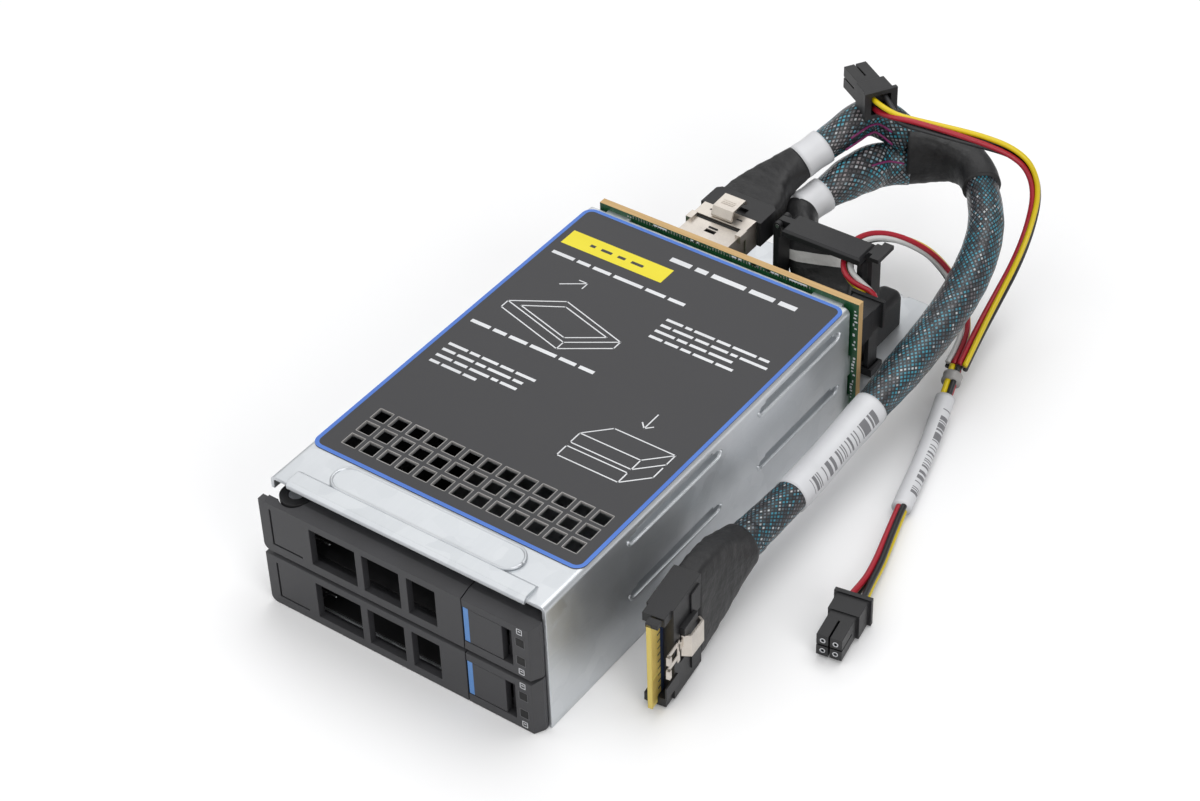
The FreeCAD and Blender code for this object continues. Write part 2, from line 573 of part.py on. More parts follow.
def light_pipes(level):
    """Two clear rods from the lenses in the block, along the right rail, to the board's lamps."""
    low = bezel_low(level)
    half = PIPE / 2
    front, turn, back = FACE_Y + 0.1, POCKET_BACK + 1.2, TRAY_END - 0.5
    pipes = []
    for lens, run in zip(LENS_CENTRES, PIPE_LEVELS):
        lens += low
        run += low
        rise = run - lens
        bar = side_profile([(front, lens - half), (turn, lens - half), (turn + rise, run - half),
                            (back, run - half), (back, run + half), (turn + rise, run + half),
                            (turn, lens + half), (front, lens + half)], LENS_X - half, LENS_X + half)
        lens_block = box(LENS_X - LENS_WIDTH / 2, LENS_X + LENS_WIDTH / 2, front, front + 1.6,
                         lens - LENS_HEIGHT / 2, lens + LENS_HEIGHT / 2)
        pipes.append(join([bar, lens_block]))
    return Part.makeCompound(pipes)


def eject_lever(level):
    z, low = tray_low(level), bezel_low(level)
    right = SPLIT_X - SPLIT_GAP / 2
    back = TRAY_START - 1.0
    face_back = FACE_Y + FACE_THICK
    plate = box(BEZEL_LEFT, right, FACE_Y, face_back, low, low + BEZEL_FACE)
    plate = rounded_edges(plate, 1.8, lambda e: e.BoundBox.YLength > 1 and e.BoundBox.XMax < BEZEL_LEFT + 0.1
                          and e.BoundBox.ZMax < low + 0.1)
    floor = z - RUN_GAP
    section = [(FACE_Y, low), (BEZEL_BACK, low), (BEZEL_BACK, floor), (face_back, floor),
               (face_back, low + BEZEL_FACE - 1.4), (FACE_Y + 3.6, low + BEZEL_TOP - 1.2),
               (back, low + BEZEL_TOP - 1.2), (back, low + BEZEL_TOP), (FACE_Y + 3.4, low + BEZEL_TOP),
               (FACE_Y, low + BEZEL_FACE)]
    shell = side_profile(section, BEZEL_LEFT + 2.0, right)
    end_wall = side_profile(bezel_profile(low, back, z), right - 1.2, right)
    tail = box(BEZEL_LEFT - 1, PIVOT_X + 2.0, face_back, back + 1, low - 1, low + TRAY_PITCH)
    disc_space = rod(V(PIVOT_X, PIVOT_Y, low - 1), V(0, 0, 1), PIVOT_DISC + RUN_GAP, TRAY_PITCH + 1)
    arm_space = box(BEZEL_LEFT, PIVOT_X + PIVOT_DISC + RUN_GAP, PIVOT_Y, back + 1, low - 1, low + TRAY_PITCH)
    shell = join([shell, end_wall]).cut(Part.makeCompound([tail, disc_space, arm_space]))
    plate = plate.cut(disc_space)
    knuckle_low, knuckle_high = low + 5.8, low + BEZEL_TOP - 1.4 - RUN_GAP
    height = knuckle_high - knuckle_low
    knuckle = rod(V(PIVOT_X, PIVOT_Y, knuckle_low), V(0, 0, 1), KNUCKLE, height)
    web = box(PIVOT_X - KNUCKLE, PIVOT_X + KNUCKLE, face_back - 0.5, PIVOT_Y, knuckle_low, knuckle_high - 1.0)
    removed = [rod(V(PIVOT_X, PIVOT_Y, low), V(0, 0, 1), PIVOT_PIN + PIN_GAP, TRAY_PITCH)]
    for inset, width in LEVER_WINDOWS:
        x = inset - HALF_WIDTH
        removed.append(box(x, x + width, FACE_Y - 1, face_back + 0.5, low + WINDOW_LOW, low + WINDOW_HIGH))
    deep = FACE_Y + GROOVE_DEPTH
    half = GROOVE_WIDTH / 2
    groove = GROOVE_INSET - HALF_WIDTH
    foot, head = low + WINDOW_LOW + 0.4 - half, low + WINDOW_HIGH + 0.2
    removed.append(box(groove - half, groove + half, FACE_Y - 1, deep, foot, head))
    removed.append(box(groove - half, groove + 9.1, FACE_Y - 1, deep, foot, foot + GROOVE_WIDTH))
    return join([plate, shell, knuckle, web]).cut(Part.makeCompound(removed))


def lever_pin(level):
    z, low = tray_low(level), bezel_low(level)
    top = low + BEZEL_TOP - 0.1
    shaft = rod(V(PIVOT_X, PIVOT_Y, z), V(0, 0, 1), PIVOT_PIN, top - z)
    head = rod(V(PIVOT_X, PIVOT_Y, top - 0.6), V(0, 0, 1), 1.9, 0.6)
    return join([shaft, head])


def lever_spring(level):
    """Torsion spring round the pin below the knuckle, with one leg on the wall and one on the lever."""
    low = bezel_low(level)
    base = V(PIVOT_X, PIVOT_Y, low + 2.5)
    coil = rod(base, V(0, 0, 1), 2.6, 2.8).cut(rod(base, V(0, 0, 1), 1.7, 2.8))
    wall_leg = box(PIVOT_X - 2.6, PIVOT_X - 2.0, PIVOT_Y, TRAY_START, low + 2.5, low + 3.1)
    lever_leg = box(PIVOT_X, PIVOT_X + 9.0, PIVOT_Y - 2.6, PIVOT_Y - 2.0, low + 4.7, low + 5.3)
    return join([coil, wall_leg, lever_leg])


# ---- backplane ------------------------------------------------------------------------
def backplane_board():
    board = box(BOARD_LEFT, BOARD_RIGHT, BOARD_FRONT, BOARD_BACK, SHEET, BOARD_TOP)
    depth = BOARD_THICK + 2
    holes = [rod(V(side * SCREW_X, BOARD_FRONT - 1, height), V(0, 1, 0), SCREW_RADIUS + TAB_GAP, depth)
             for side in (-1, 1) for height in SCREW_HEIGHTS]
    return board.cut(Part.makeCompound(holes))


def board_screws():
    screws = []
    for side in (-1, 1):
        for height in SCREW_HEIGHTS:
            at = V(side * SCREW_X, BOARD_FRONT - SHEET - 1.0, height)
            shank = rod(at, V(0, 1, 0), SCREW_RADIUS, BOARD_THICK + SHEET + 1.0)
            head = rod(V(at.x, BOARD_BACK, height), V(0, 1, 0), SCREW_HEAD, 1.6)
            drive = rod(V(at.x, BOARD_BACK + 0.8, height), V(0, 1, 0), 1.1, 1.0)
            screws.append(join([shank, head]).cut(drive))
    return Part.makeCompound(screws)


def drive_socket(level):
    """Receptacle that a seated drive's edge connector enters."""
    width, depth, height = DRIVE_SOCKET
    x0, x1 = DRIVE_SOCKET_X - width / 2, DRIVE_SOCKET_X + width / 2
    z = tray_low(level) + DRIVE_BASE + 3.5
    front = BOARD_FRONT - depth
    body = box(x0, x1, front, BOARD_FRONT, z - height / 2, z + height / 2)
    signal = box(x0 + 4.0, x0 + 4.0 + 12.0, front - 1, BOARD_FRONT - 2.5, z - 1.2, z + 1.2)
    power = box(x0 + 18.4, x1 - 4.0, front - 1, BOARD_FRONT - 2.5, z - 1.2, z + 1.2)
    return body.cut(Part.makeCompound([signal, power]))


def data_socket(side):
    """Metal receptacle shell on the back of the board."""
    x, z = DATA_PLUGS[side]
    width, depth, height = DATA_SOCKET
    outer = box(x - width / 2, x + width / 2, BOARD_BACK, BOARD_BACK + depth, z - height / 2, z + height / 2)
    inner = box(x - width / 2 + METAL, x + width / 2 - METAL, BOARD_BACK + 1.2, BOARD_BACK + depth + 1,
                z - height / 2 + METAL, z + height / 2 - METAL)
    window = box(x - 1.6, x + 1.6, BOARD_BACK + 3.0, BOARD_BACK + 4.4, z + height / 2 - 1, z + height / 2 + 1)
    return outer.cut(inner).cut(window)


def power_socket():
    half = POWER_SILO / 2 + 0.1
    outer = half + POWER_WALL
    depth = POWER_LENGTHS["board"][0] + 0.6
    mouth = BOARD_BACK + depth
    shell = box(POWER_X - outer, POWER_X + outer, BOARD_BACK, mouth, POWER_Z - outer, POWER_Z + outer)
    hole = box(POWER_X - half, POWER_X + half, BOARD_BACK + 0.5, mouth + 1, POWER_Z - half, POWER_Z + half)
    return shell.cut(hole)


# ---- data cable -----------------------------------------------------------------------
def plug_start():
    return BOARD_BACK + DATA_SOCKET[1] + RUN_GAP


def data_cover(side):
    """Metal cover round the nose of a data plug."""
    x, z = DATA_PLUGS[side]
    y = plug_start()
    width, height = COVER_WIDTH + 1.4, PLUG_HEIGHT + 0.6
    outer = box(x - width / 2, x + width / 2, y, y + COVER_LENGTH, z - height / 2, z + height / 2)
    half_w, half_h = DATA_SOCKET[0] / 2 - METAL - 0.3, DATA_SOCKET[2] / 2 - METAL - 0.3
    return outer.cut(box(x - half_w, x + half_w, y - 1, y + COVER_LENGTH + 1, z - half_h, z + half_h))


def data_plug(side):
    x, z = DATA_PLUGS[side]
    y = plug_start() + COVER_LENGTH
    half_w, half_h = DATA_SOCKET[0] / 2 - METAL - 0.35, DATA_SOCKET[2] / 2 - METAL - 0.35
    across, rise = PLUG_WIDTH / 2, PLUG_HEIGHT / 2
    body = box(x - across, x + across, y, y + PLUG_LENGTH, z - rise, z + rise)
    uprights = [e for e in body.Edges if e.BoundBox.ZLength > 1 and e.BoundBox.YMin > y + 1]
    body = body.makeChamfer(1.2, uprights)
    nose = box(x - half_w, x + half_w, BOARD_BACK + 2.2, y + 1, z - half_h, z + half_h)
    notch = box(x - LATCH_WIDTH / 2 - 0.4, x + LATCH_WIDTH / 2 + 0.4, y - 1, y + 3.4,
                z + PLUG_HEIGHT / 2 - 1.0, z + PLUG_HEIGHT / 2 + 1)
    return join([body, nose]).cut(notch)


def latch_strip(y, z, x0, x1):
    """Bent sheet latch: a foot, a rise and a push pad, drawn from the side."""
    points = [(y, z), (y + 0.8, z), (y + 1.4, z + 2.2), (y + 6.6, z + 2.4), (y + 7.4, z + 1.2),
              (y + 7.9, z + 1.5), (y + 7.0, z + 3.0), (y + 1.0, z + 2.8), (y, z + METAL)]
    return side_profile(points, x0, x1)


def data_latch(side):
    x, z = DATA_PLUGS[side]
    return latch_strip(plug_start() + 0.6, z + (PLUG_HEIGHT + 0.6) / 2 + RUN_GAP,
                       x - LATCH_WIDTH / 2, x + LATCH_WIDTH / 2)


def section_at(centre, heading, along, length, width):
    """An obround across a cord's direction, its long way as near to the stated direction as it can be."""
    normal = V(heading)
    normal.normalize()
    direction = along - normal * along.dot(normal)
    direction.normalize()
    return slot_wire(centre, direction, normal.cross(direction), length, width)


def data_boot(side, points, cord):
    x, z = DATA_PLUGS[side]
    y = plug_start() + COVER_LENGTH + PLUG_LENGTH
    run = last_run(points)
    start, end = V(x, y, z), points[-1] - run * (BOOT_LAP - SLEEVE_GAP)
    width = 2 * BRANCH_RADIUS + 1.4
    near = slot_wire(start, V(1, 0, 0), V(0, 0, 1), PLUG_WIDTH - 1.6, PLUG_HEIGHT - 0.4)
    middle = section_at((start + end) * 0.5, end - start, V(1, 0, 0), width + 2.6, PLUG_HEIGHT + 0.8)
    far = section_at(end, run * -1, V(1, 0, 0), width, 2 * BRANCH_RADIUS + 1.0)
    return Part.makeLoft([near, middle, far], True, True).cut(cord)


def last_run(points):
    run = points[-1] - points[-2]
    return run.normalize()


def branch_tape(points):
    """White tape round the straight run of a branch, up to its boot."""
    run = last_run(points)
    start = points[-1] - run * (BOOT_LAP + TAPE_LENGTH)
    bore = BRANCH_RADIUS + SLEEVE_GAP
    return rod(start, run, bore + SLEEVE_THICK, TAPE_LENGTH).cut(rod(start, run, bore, TAPE_LENGTH))


def split_boot():
    """Black sleeve where the trunk divides in two: round at the trunk, tall at the branches."""
    up = LEFT_BRANCH_POINTS[0] - RIGHT_BRANCH_POINTS[0]
    end = (LEFT_BRANCH_POINTS[0] + RIGHT_BRANCH_POINTS[0]) * 0.5
    start, heading = TRUNK_POINTS[-1], TRUNK_POINTS[-1] - TRUNK_POINTS[-2]
    width = 2 * TRUNK_RADIUS
    sections = [section_at(start, heading, up, width + 1.0, width + 0.8),
                section_at(SPLIT_MIDDLE, SPLIT_HEADING, up, width + 4.0, width - 0.6),
                section_at(end + V(-1.4, -0.4, 0), V(-0.9, -0.4, 0), up, up.Length + 2 * BRANCH_RADIUS + 1.0,
                           2 * BRANCH_RADIUS + 1.0)]
    return Part.makeLoft(sections, True, False)


def host_card():
    half, edge = CARD_THICK / 2, HOST_HEIGHT / 2 - 0.7
    return placed(box(-half, half, 0, CARD_DEPTH, -edge, edge), HOST_AT, HOST_TURN)


def host_plug():
    half = HOST_HEIGHT / 2
    thick = HOST_THICK / 2
    body = box(-thick, thick, 6.0, 20.0, -half, half)
    guides = box(-thick + 0.6, thick - 0.6, 2.6, 6.0, half - 2.6, half)
    foot = box(-thick + 0.6, thick - 0.6, 2.6, 6.0, -half, -half + 2.6)
    seat = box(thick - 0.8, thick + 1, 9.0, 21.0, -5.0, 4.0)
    room = CARD_THICK / 2 + CARD_GAP
    edge = half - 0.7 + CARD_GAP
    slot = box(-room, room, 0, CARD_DEPTH + CARD_GAP, -edge, edge)
    return placed(join([body, guides, foot]).cut(seat).cut(slot), HOST_AT, HOST_TURN)


def host_latch():
    """Sheet latch on the side of the host plug, turned to stand on its edge."""
    strip = latch_strip(9.6, HOST_THICK / 2 - 0.8 + RUN_GAP, -3.4, 3.4)
    strip.rotate(V(0, 0, 0), V(0, 1, 0), 90)
    return placed(strip, HOST_AT, HOST_TURN)


def host_boot(trunk):
    turn = FreeCAD.Rotation(V(0, 0, 1), HOST_TURN)
    start = HOST_AT + turn.multVec(V(0, 20.0, 0))
    heading = TRUNK_POINTS[1] - TRUNK_POINTS[0]
    up = V(0, 0, 1)
    width = 2 * TRUNK_RADIUS
    sections = [section_at(start, turn.multVec(V(0, 1, 0)), up, HOST_HEIGHT - 1.0, HOST_THICK + 0.6),
                section_at((start + TRUNK_POINTS[0]) * 0.5, heading, up, HOST_HEIGHT - 4.0, HOST_THICK + 4.0),
                section_at(TRUNK_POINTS[0] + heading * 0.05, heading, up, width + 1.2, width + 0.8)]
    return Part.makeLoft(sections, True, False).cut(trunk)


# ---- power cable ----------------------------------------------------------------------
def power_plug(silo, hood):
    """Four square silos in front of a hood that guards the wires; mating face at the origin."""
    half = POWER_SILO / 2
    wide, tall = POWER_HOOD[0] / 2, POWER_HOOD[1] / 2
    rim_x, rim_z = POWER_FLANGE[0] / 2, POWER_FLANGE[1] / 2
    end = silo + hood
    body = box(-half, half, 0, silo, -half, half)
    back = box(-wide, wide, silo, end, -tall, tall)
    rim = box(-rim_x, rim_x, end - FLANGE_LENGTH, end, -rim_z, rim_z)
    slit = silo * 0.7
    removed = [box(-0.25, 0.25, -1, slit, -half - 1, half + 1), box(-half - 1, half + 1, -1, slit, -0.25, 0.25),
               box(-half + 0.4, half - 0.4, end - 2.0, end + 1, -half + 0.4, half - 0.4)]
    for x in (-1, 1):
        for z in (-1, 1):
            at = V(x * (POWER_PITCH / 2 + 0.15), -1, z * (POWER_PITCH / 2 + 0.15))
            removed.append(rod(at, V(0, 1, 0), 0.75, 4.0))
    return join([body, back, rim]).cut(Part.makeCompound(removed))


def lead_plug():
    return placed(power_plug(*POWER_LENGTHS["lead"]), LEAD_AT, LEAD_TURN)


def spare_plug():
    return placed(power_plug(*POWER_LENGTHS["spare"]), SPARE_AT, SPARE_TURN)


def board_plug():
    return placed(power_plug(*POWER_LENGTHS["board"]), V(POWER_X, BOARD_BACK + 0.7, POWER_Z), 0)


# ---- cable clamp ----------------------------------------------------------------------
def pin_place():
    return CLAMP_LEFT + STRAP_THICK / 2, CLAMP_TOP - STRAP_THICK / 2


def clamp_base():
    """Foot plate with two posts and a rounded block, moulded in one."""
    pin_x, pin_z = pin_place()
    foot_top = SHEET + CLAMP_FOOT
    post_top = CLAMP_TOP - STRAP_THICK - RUN_GAP
    ear_y = ((POST_FRONT, POST_FRONT + 1.4), (POST_BACK - 1.4, POST_BACK))
    right = CLAMP_RIGHT - POST_THICK
    front = POST_BACK + BLOCK_SETBACK
    solids = [box(CLAMP_LEFT, CLAMP_RIGHT + CLAMP_STEP, POST_FRONT, POST_BACK, SHEET, foot_top),
              box(CLAMP_LEFT, CLAMP_LEFT + POST_THICK, POST_FRONT, POST_BACK, SHEET, post_top - 1.2),
              box(right, CLAMP_RIGHT, POST_FRONT, POST_BACK, SHEET, post_top),
              box(BLOCK_SPAN[0], BLOCK_SPAN[1], POST_BACK - 2, front + 2, SHEET, foot_top)]
    for y0, y1 in ear_y:
        solids.append(box(CLAMP_LEFT, CLAMP_LEFT + STRAP_THICK, y0, y1, post_top - 2.0, pin_z))
        solids.append(rod(V(pin_x, y0, pin_z), V(0, 1, 0), STRAP_THICK / 2, y1 - y0))
    block = box(BLOCK_SPAN[0], BLOCK_SPAN[1], front, front + BLOCK_LENGTH, SHEET, BLOCK_TOP)
    block = rounded_edges(block, 2.6, lambda e: e.BoundBox.ZMin > BLOCK_TOP - 0.1 or
                          (e.BoundBox.ZLength > 1 and e.BoundBox.YMin > front + BLOCK_LENGTH - 0.1))
    socket = box(CLAMP_RIGHT + 0.7, CLAMP_RIGHT + 3.1, POST_FRONT + 0.2, POST_BACK - 0.2,
                 SHEET + 0.6, foot_top + 1)
    hole = rod(V(pin_x, POST_FRONT - 1, pin_z), V(0, 1, 0), CLAMP_PIN + 0.02, POST_BACK - POST_FRONT + 2)
    return join(solids + [block]).cut(Part.makeCompound([socket, hole]))


def clamp_strap():
    """Strap over the cables: hinged at its left end, snapped beside the latch at its right."""
    pin_x, pin_z = pin_place()
    low, middle = CLAMP_TOP - STRAP_THICK, (POST_FRONT + POST_BACK) / 2
    tongue = (POST_BACK - POST_FRONT) / 2 - 1.4 - RUN_GAP
    broad = box(pin_x + 2.6, CLAMP_RIGHT, CLAMP_FRONT, CLAMP_BACK, low, CLAMP_TOP)
    broad = broad.makeChamfer(0.6, [e for e in broad.Edges if e.BoundBox.ZMin > CLAMP_TOP - 0.1])
    neck = box(pin_x, pin_x + 4.0, middle - tongue, middle + tongue, low, CLAMP_TOP)
    eye = rod(V(pin_x, middle - tongue, pin_z), V(0, 1, 0), STRAP_THICK / 2, 2 * tongue)
    hole = rod(V(pin_x, CLAMP_FRONT, pin_z), V(0, 1, 0), CLAMP_PIN + PIN_GAP, CLAMP_BACK - CLAMP_FRONT)
    return join([broad, neck, eye]).cut(hole)


def clamp_pin():
    pin_x, pin_z = pin_place()
    return rod(V(pin_x, POST_FRONT, pin_z), V(0, 1, 0), CLAMP_PIN, POST_BACK - POST_FRONT)


def clamp_latch():
    """Springy arm beside the right post, with a finger tab at its top."""
    x0 = CLAMP_RIGHT + 1.3
    x1 = x0 + LATCH_THICK
    y0, y1 = POST_FRONT + 0.5, POST_BACK - 0.5
    arm = box(x0, x1, y0, y1, SHEET + 0.9, CLAMP_TOP + 1.4)
    nose = side_nose(x0, y0, y1)
    tab = box(x1, x1 + LATCH_TAB, y0 - 1.6, y1 + 1.6, CLAMP_TOP + 0.2, CLAMP_TOP + 1.4)
    return join([arm, nose, tab])


def side_nose(x0, y0, y1):
    low = CLAMP_TOP - STRAP_THICK
    points = [(x0, low), (x0 - 1.0, CLAMP_TOP - 0.4), (x0 - 1.0, CLAMP_TOP + 0.2), (x0, CLAMP_TOP + 1.4)]
    return polygon([V(x, y0, z) for x, z in points]).extrude(V(0, y1 - y0, 0))


# ---- everything -----------------------------------------------------------------------
def cables():
    trunk_route = route(TRUNK_POINTS, "trunk")
    left_route = route(LEFT_BRANCH_POINTS, "left branch")
    right_route = route(RIGHT_BRANCH_POINTS, "right branch")
    lead_route = route(LEAD_WIRE_POINTS, "lead wires")
    divide = split_boot()
    trunk = largest(tube(trunk_route, TRUNK_RADIUS).cut(divide))
    left = largest(tube(left_route, BRANCH_RADIUS).cut(divide))
    right = largest(tube(right_route, BRANCH_RADIUS).cut(divide))
    return {
        "data_trunk": trunk,
        "data_branch_left": left,
        "data_branch_right": right,
        "trunk_label": sleeve(trunk_route[2:7], TRUNK_RADIUS),
        "branch_tape_left": branch_tape(LEFT_BRANCH_POINTS),
        "branch_tape_right": branch_tape(RIGHT_BRANCH_POINTS),
        "split_boot": divide,
        "data_boot_left": data_boot("left", LEFT_BRANCH_POINTS, left),
        "data_boot_right": data_boot("right", RIGHT_BRANCH_POINTS, right),
        "host_boot": host_boot(trunk),
        "lead_wires": tube(lead_route, WIRES_RADIUS),
        "wire_label": sleeve(lead_route[6:10], WIRES_RADIUS),
        "spare_wires": tube(route(SPARE_WIRE_POINTS, "spare wires"), LEG_RADIUS),
        "board_wires": tube(route(BOARD_WIRE_POINTS, "board wires"), LEG_RADIUS),
    }


def all_nodes():
    nodes = {
        "cage_shell": cage_shell(), "base_plate": base_plate(), "label_film": label_film(),
        "backplane_board": backplane_board(), "board_screws": board_screws(), "power_socket": power_socket(),
        "clamp_base": clamp_base(), "clamp_strap": clamp_strap(), "clamp_pin": clamp_pin(),
        "clamp_latch": clamp_latch(), "host_card": host_card(), "host_plug": host_plug(),
        "host_latch": host_latch(), "lead_plug": lead_plug(), "spare_plug": spare_plug(),
        "board_plug": board_plug()}
    for level, name in enumerate(TRAY_LEVELS):
        nodes["tray_frame_" + name] = tray_frame(level)
        nodes["bezel_block_" + name] = bezel_block(level)
        nodes["eject_lever_" + name] = eject_lever(level)
        nodes["lever_pin_" + name] = lever_pin(level)
        nodes["lever_spring_" + name] = lever_spring(level)
        nodes["release_button_" + name] = release_button(level)
        nodes["button_stripe_" + name] = button_stripe(level)
        nodes["button_spring_" + name] = button_spring(level)
        nodes["light_pipes_" + name] = light_pipes(level)
        nodes["drive_socket_" + name] = drive_socket(level)
    for side in DATA_PLUGS:
        nodes["data_socket_" + side] = data_socket(side)
        nodes["data_cover_" + side] = data_cover(side)
        nodes["data_plug_" + side] = data_plug(side)
        nodes["data_latch_" + side] = data_latch(side)
    nodes.update(cables())
    return nodes


def main():
    os.makedirs("parts", exist_ok=True)
    for name, shape in all_nodes().items():
        if not shape.isValid() or not shape.Solids:
            print("not valid:", name)
        shape.exportStep("parts/" + name + ".step")


main()
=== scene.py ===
import math

import bpy
import numpy as np
from mathutils import Matrix, Vector


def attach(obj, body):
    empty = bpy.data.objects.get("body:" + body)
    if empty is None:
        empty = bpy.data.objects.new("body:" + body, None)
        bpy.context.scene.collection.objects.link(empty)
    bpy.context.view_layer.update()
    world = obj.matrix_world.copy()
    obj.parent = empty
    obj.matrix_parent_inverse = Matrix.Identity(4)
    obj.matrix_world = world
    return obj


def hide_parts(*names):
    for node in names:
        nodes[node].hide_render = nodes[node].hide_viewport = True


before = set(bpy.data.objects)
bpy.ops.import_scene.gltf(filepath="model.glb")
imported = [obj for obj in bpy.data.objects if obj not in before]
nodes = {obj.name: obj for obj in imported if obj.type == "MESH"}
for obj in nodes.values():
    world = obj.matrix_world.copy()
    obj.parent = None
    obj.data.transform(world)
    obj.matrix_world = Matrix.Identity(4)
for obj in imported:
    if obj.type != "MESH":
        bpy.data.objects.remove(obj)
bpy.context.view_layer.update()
LEVELS = ("lower", "upper")
TRAY_PITCH = 0.0176
BEZEL_LIFT = 0.00015             # underside of the lower bezel above the table
LEVER_PIVOT = (-0.0346, -0.0638)
DATA_PLUGS = {"left": (-0.0065, 0.0366), "right": (0.0168, 0.0175)}   # middle of each plug on the board


# Shader recipes
class Recipe:
    """Adds nodes to one tree; a value that is a socket is linked, any other is set."""

    def __init__(self, tree):
        self.tree = tree

    def feed(self, socket, value):
        """Links or sets one socket."""
        if isinstance(value, bpy.types.NodeSocket):
            self.tree.links.new(value, socket)
        else:
            socket.default_value = value

    def fill(self, node, **values):
        """Feeds sockets by name, where an underscore stands for a space."""
        for name, value in values.items():
            self.feed(node.inputs[name.replace("_", " ")], value)
        return node

    def add(self, kind, settings=(), **values):
        """A new node with its settings made and its named sockets fed."""
        node = self.tree.nodes.new("ShaderNode" + kind)
        for key, value in dict(settings).items():
            setattr(node, key, value)
        return self.fill(node, **values)

    def math(self, operation, a, b=0.0, c=0.0):
        """One operation on up to three values."""
        node = self.add("Math", {"operation": operation})
        for socket, value in zip(node.inputs, (a, b, c)):
            self.feed(socket, value)
        return node.outputs[0]

    def times(self, a, b, plus=None):
        """a times b, and a third value added where one is given."""
        return self.math("MULTIPLY", a, b) if plus is None else self.math("MULTIPLY_ADD", a, b, plus)

    def between(self, value, low, high):
        """1 from low to high, and 0 elsewhere."""
        return self.times(self.math("GREATER_THAN", value, low), self.math("LESS_THAN", value, high))

    def ramp(self, value, low, high, out_low=0.0, out_high=1.0):
        """A soft step that rises between low and high."""
        node = self.add("MapRange", {"interpolation_type": "SMOOTHSTEP"}, Value=value, From_Min=low,
                        From_Max=high, To_Min=out_low, To_Max=out_high)
        return node.outputs[0]

    def blend(self, share, a, b):
        """Colour a where the share is 0, and b where it is 1."""
        node = self.add("Mix", {"data_type": "RGBA"})
        for socket, value in zip((node.inputs[0], *node.inputs[6:8]), (share, a, b)):
            self.feed(socket, value)
        return node.outputs[2]

    def noise(self, place, scale, detail=3.0, rough=0.5):
        """Clouds of 0 to 1, with scale of them to a metre."""
        return self.add("TexNoise", Vector=place, Scale=scale, Detail=detail, Roughness=rough).outputs["Fac"]

    def stretched(self, place, scale):
        """A place times a scale for each axis."""
        return self.add("Mapping", Vector=place, Scale=scale).outputs[0]

    def parts(self, place):
        """The x, y and z of a place."""
        return self.add("SeparateXYZ", Vector=place).outputs

    def joined(self, x, y, z=0.0):
        """A place from its x, y and z."""
        return self.add("CombineXYZ", X=x, Y=y, Z=z).outputs[0]

    def use(self, group, **values):
        """What a node group puts out for these values."""
        return self.add("Group", {"node_tree": group}, **values).outputs

    def place(self):
        """The place on the object, in metres."""
        return self.add("TexCoord").outputs["Object"]

    def surface(self, **values):
        """Feeds the material's own shader; a plain value is set on its socket."""
        self.fill(self.tree.nodes["Principled BSDF"], **values)


KINDS = ("NodeSocketVector", "NodeSocketColor", "NodeSocketFloat")
COAT = ("", "Colour", "Roughness Height")


def effect(name, given, made):
    """A node group; given and made are each three strings of socket names: vectors, colours and values."""
    tree = bpy.data.node_groups.new(name, "ShaderNodeTree")
    for way, words in (("INPUT", given), ("OUTPUT", made)):
        for kind, labels in zip(KINDS, words):
            for label in labels.split():
                tree.interface.new_socket(label, in_out=way, socket_type=kind)
    entry, leave = (tree.nodes.new("NodeGroup" + end) for end in ("Input", "Output"))
    return tree, Recipe(tree), list(entry.outputs)[:-1], leave


def surface_tone():
    """Patches of two tones with fine grain over them, and roughness and height that follow."""
    tree, r, (place, tone, worn, patches, grain, smooth, dull), put = effect(
        "surface tone", ("Place", "Tone Worn", "Patches Grain Smooth Dull"), COAT)
    cloud = r.noise(place, patches, 4.0)
    spark = r.noise(place, grain, 2.0, 0.6)
    share = r.ramp(r.times(spark, 0.3, cloud), 0.5, 0.85)
    wander = r.times(spark, 0.35, r.times(cloud, 0.65))
    rough = r.add("MapRange", Value=wander, From_Min=0.3, From_Max=0.7, To_Min=smooth, To_Max=dull)
    r.fill(put, Colour=r.blend(share, tone, worn), Roughness=rough.outputs[0], Height=spark)
    return tree


def zinc_coat():
    """Zinc flowers: cells of slightly different shade, with faint rolling marks along one way."""
    tree, r, (place, tone, shade), put = effect("zinc coat", ("Place", "Tone Shade", ""), COAT)
    wobble = r.times(r.noise(place, 160.0, 2.0), 0.004)
    bent = r.add("VectorMath", {"operation": "ADD"})
    r.feed(bent.inputs[0], place)
    r.feed(bent.inputs[1], r.joined(wobble, 0.0, wobble))
    cells = r.add("TexVoronoi", Vector=bent.outputs[0], Scale=170.0)
    flower = r.parts(cells.outputs["Color"])[0]
    rolled = r.noise(r.stretched(place, (900.0, 40.0, 900.0)), 1.0, 2.0)
    clouds = r.noise(place, 22.0)
    share = r.times(flower, 0.35, r.times(rolled, 0.25, r.times(clouds, 0.4)))
    r.fill(put, Colour=r.blend(share, tone, shade), Roughness=r.times(share, 0.22, 0.26),
           Height=r.times(rolled, 0.4, r.times(flower, 0.2)))
    return tree


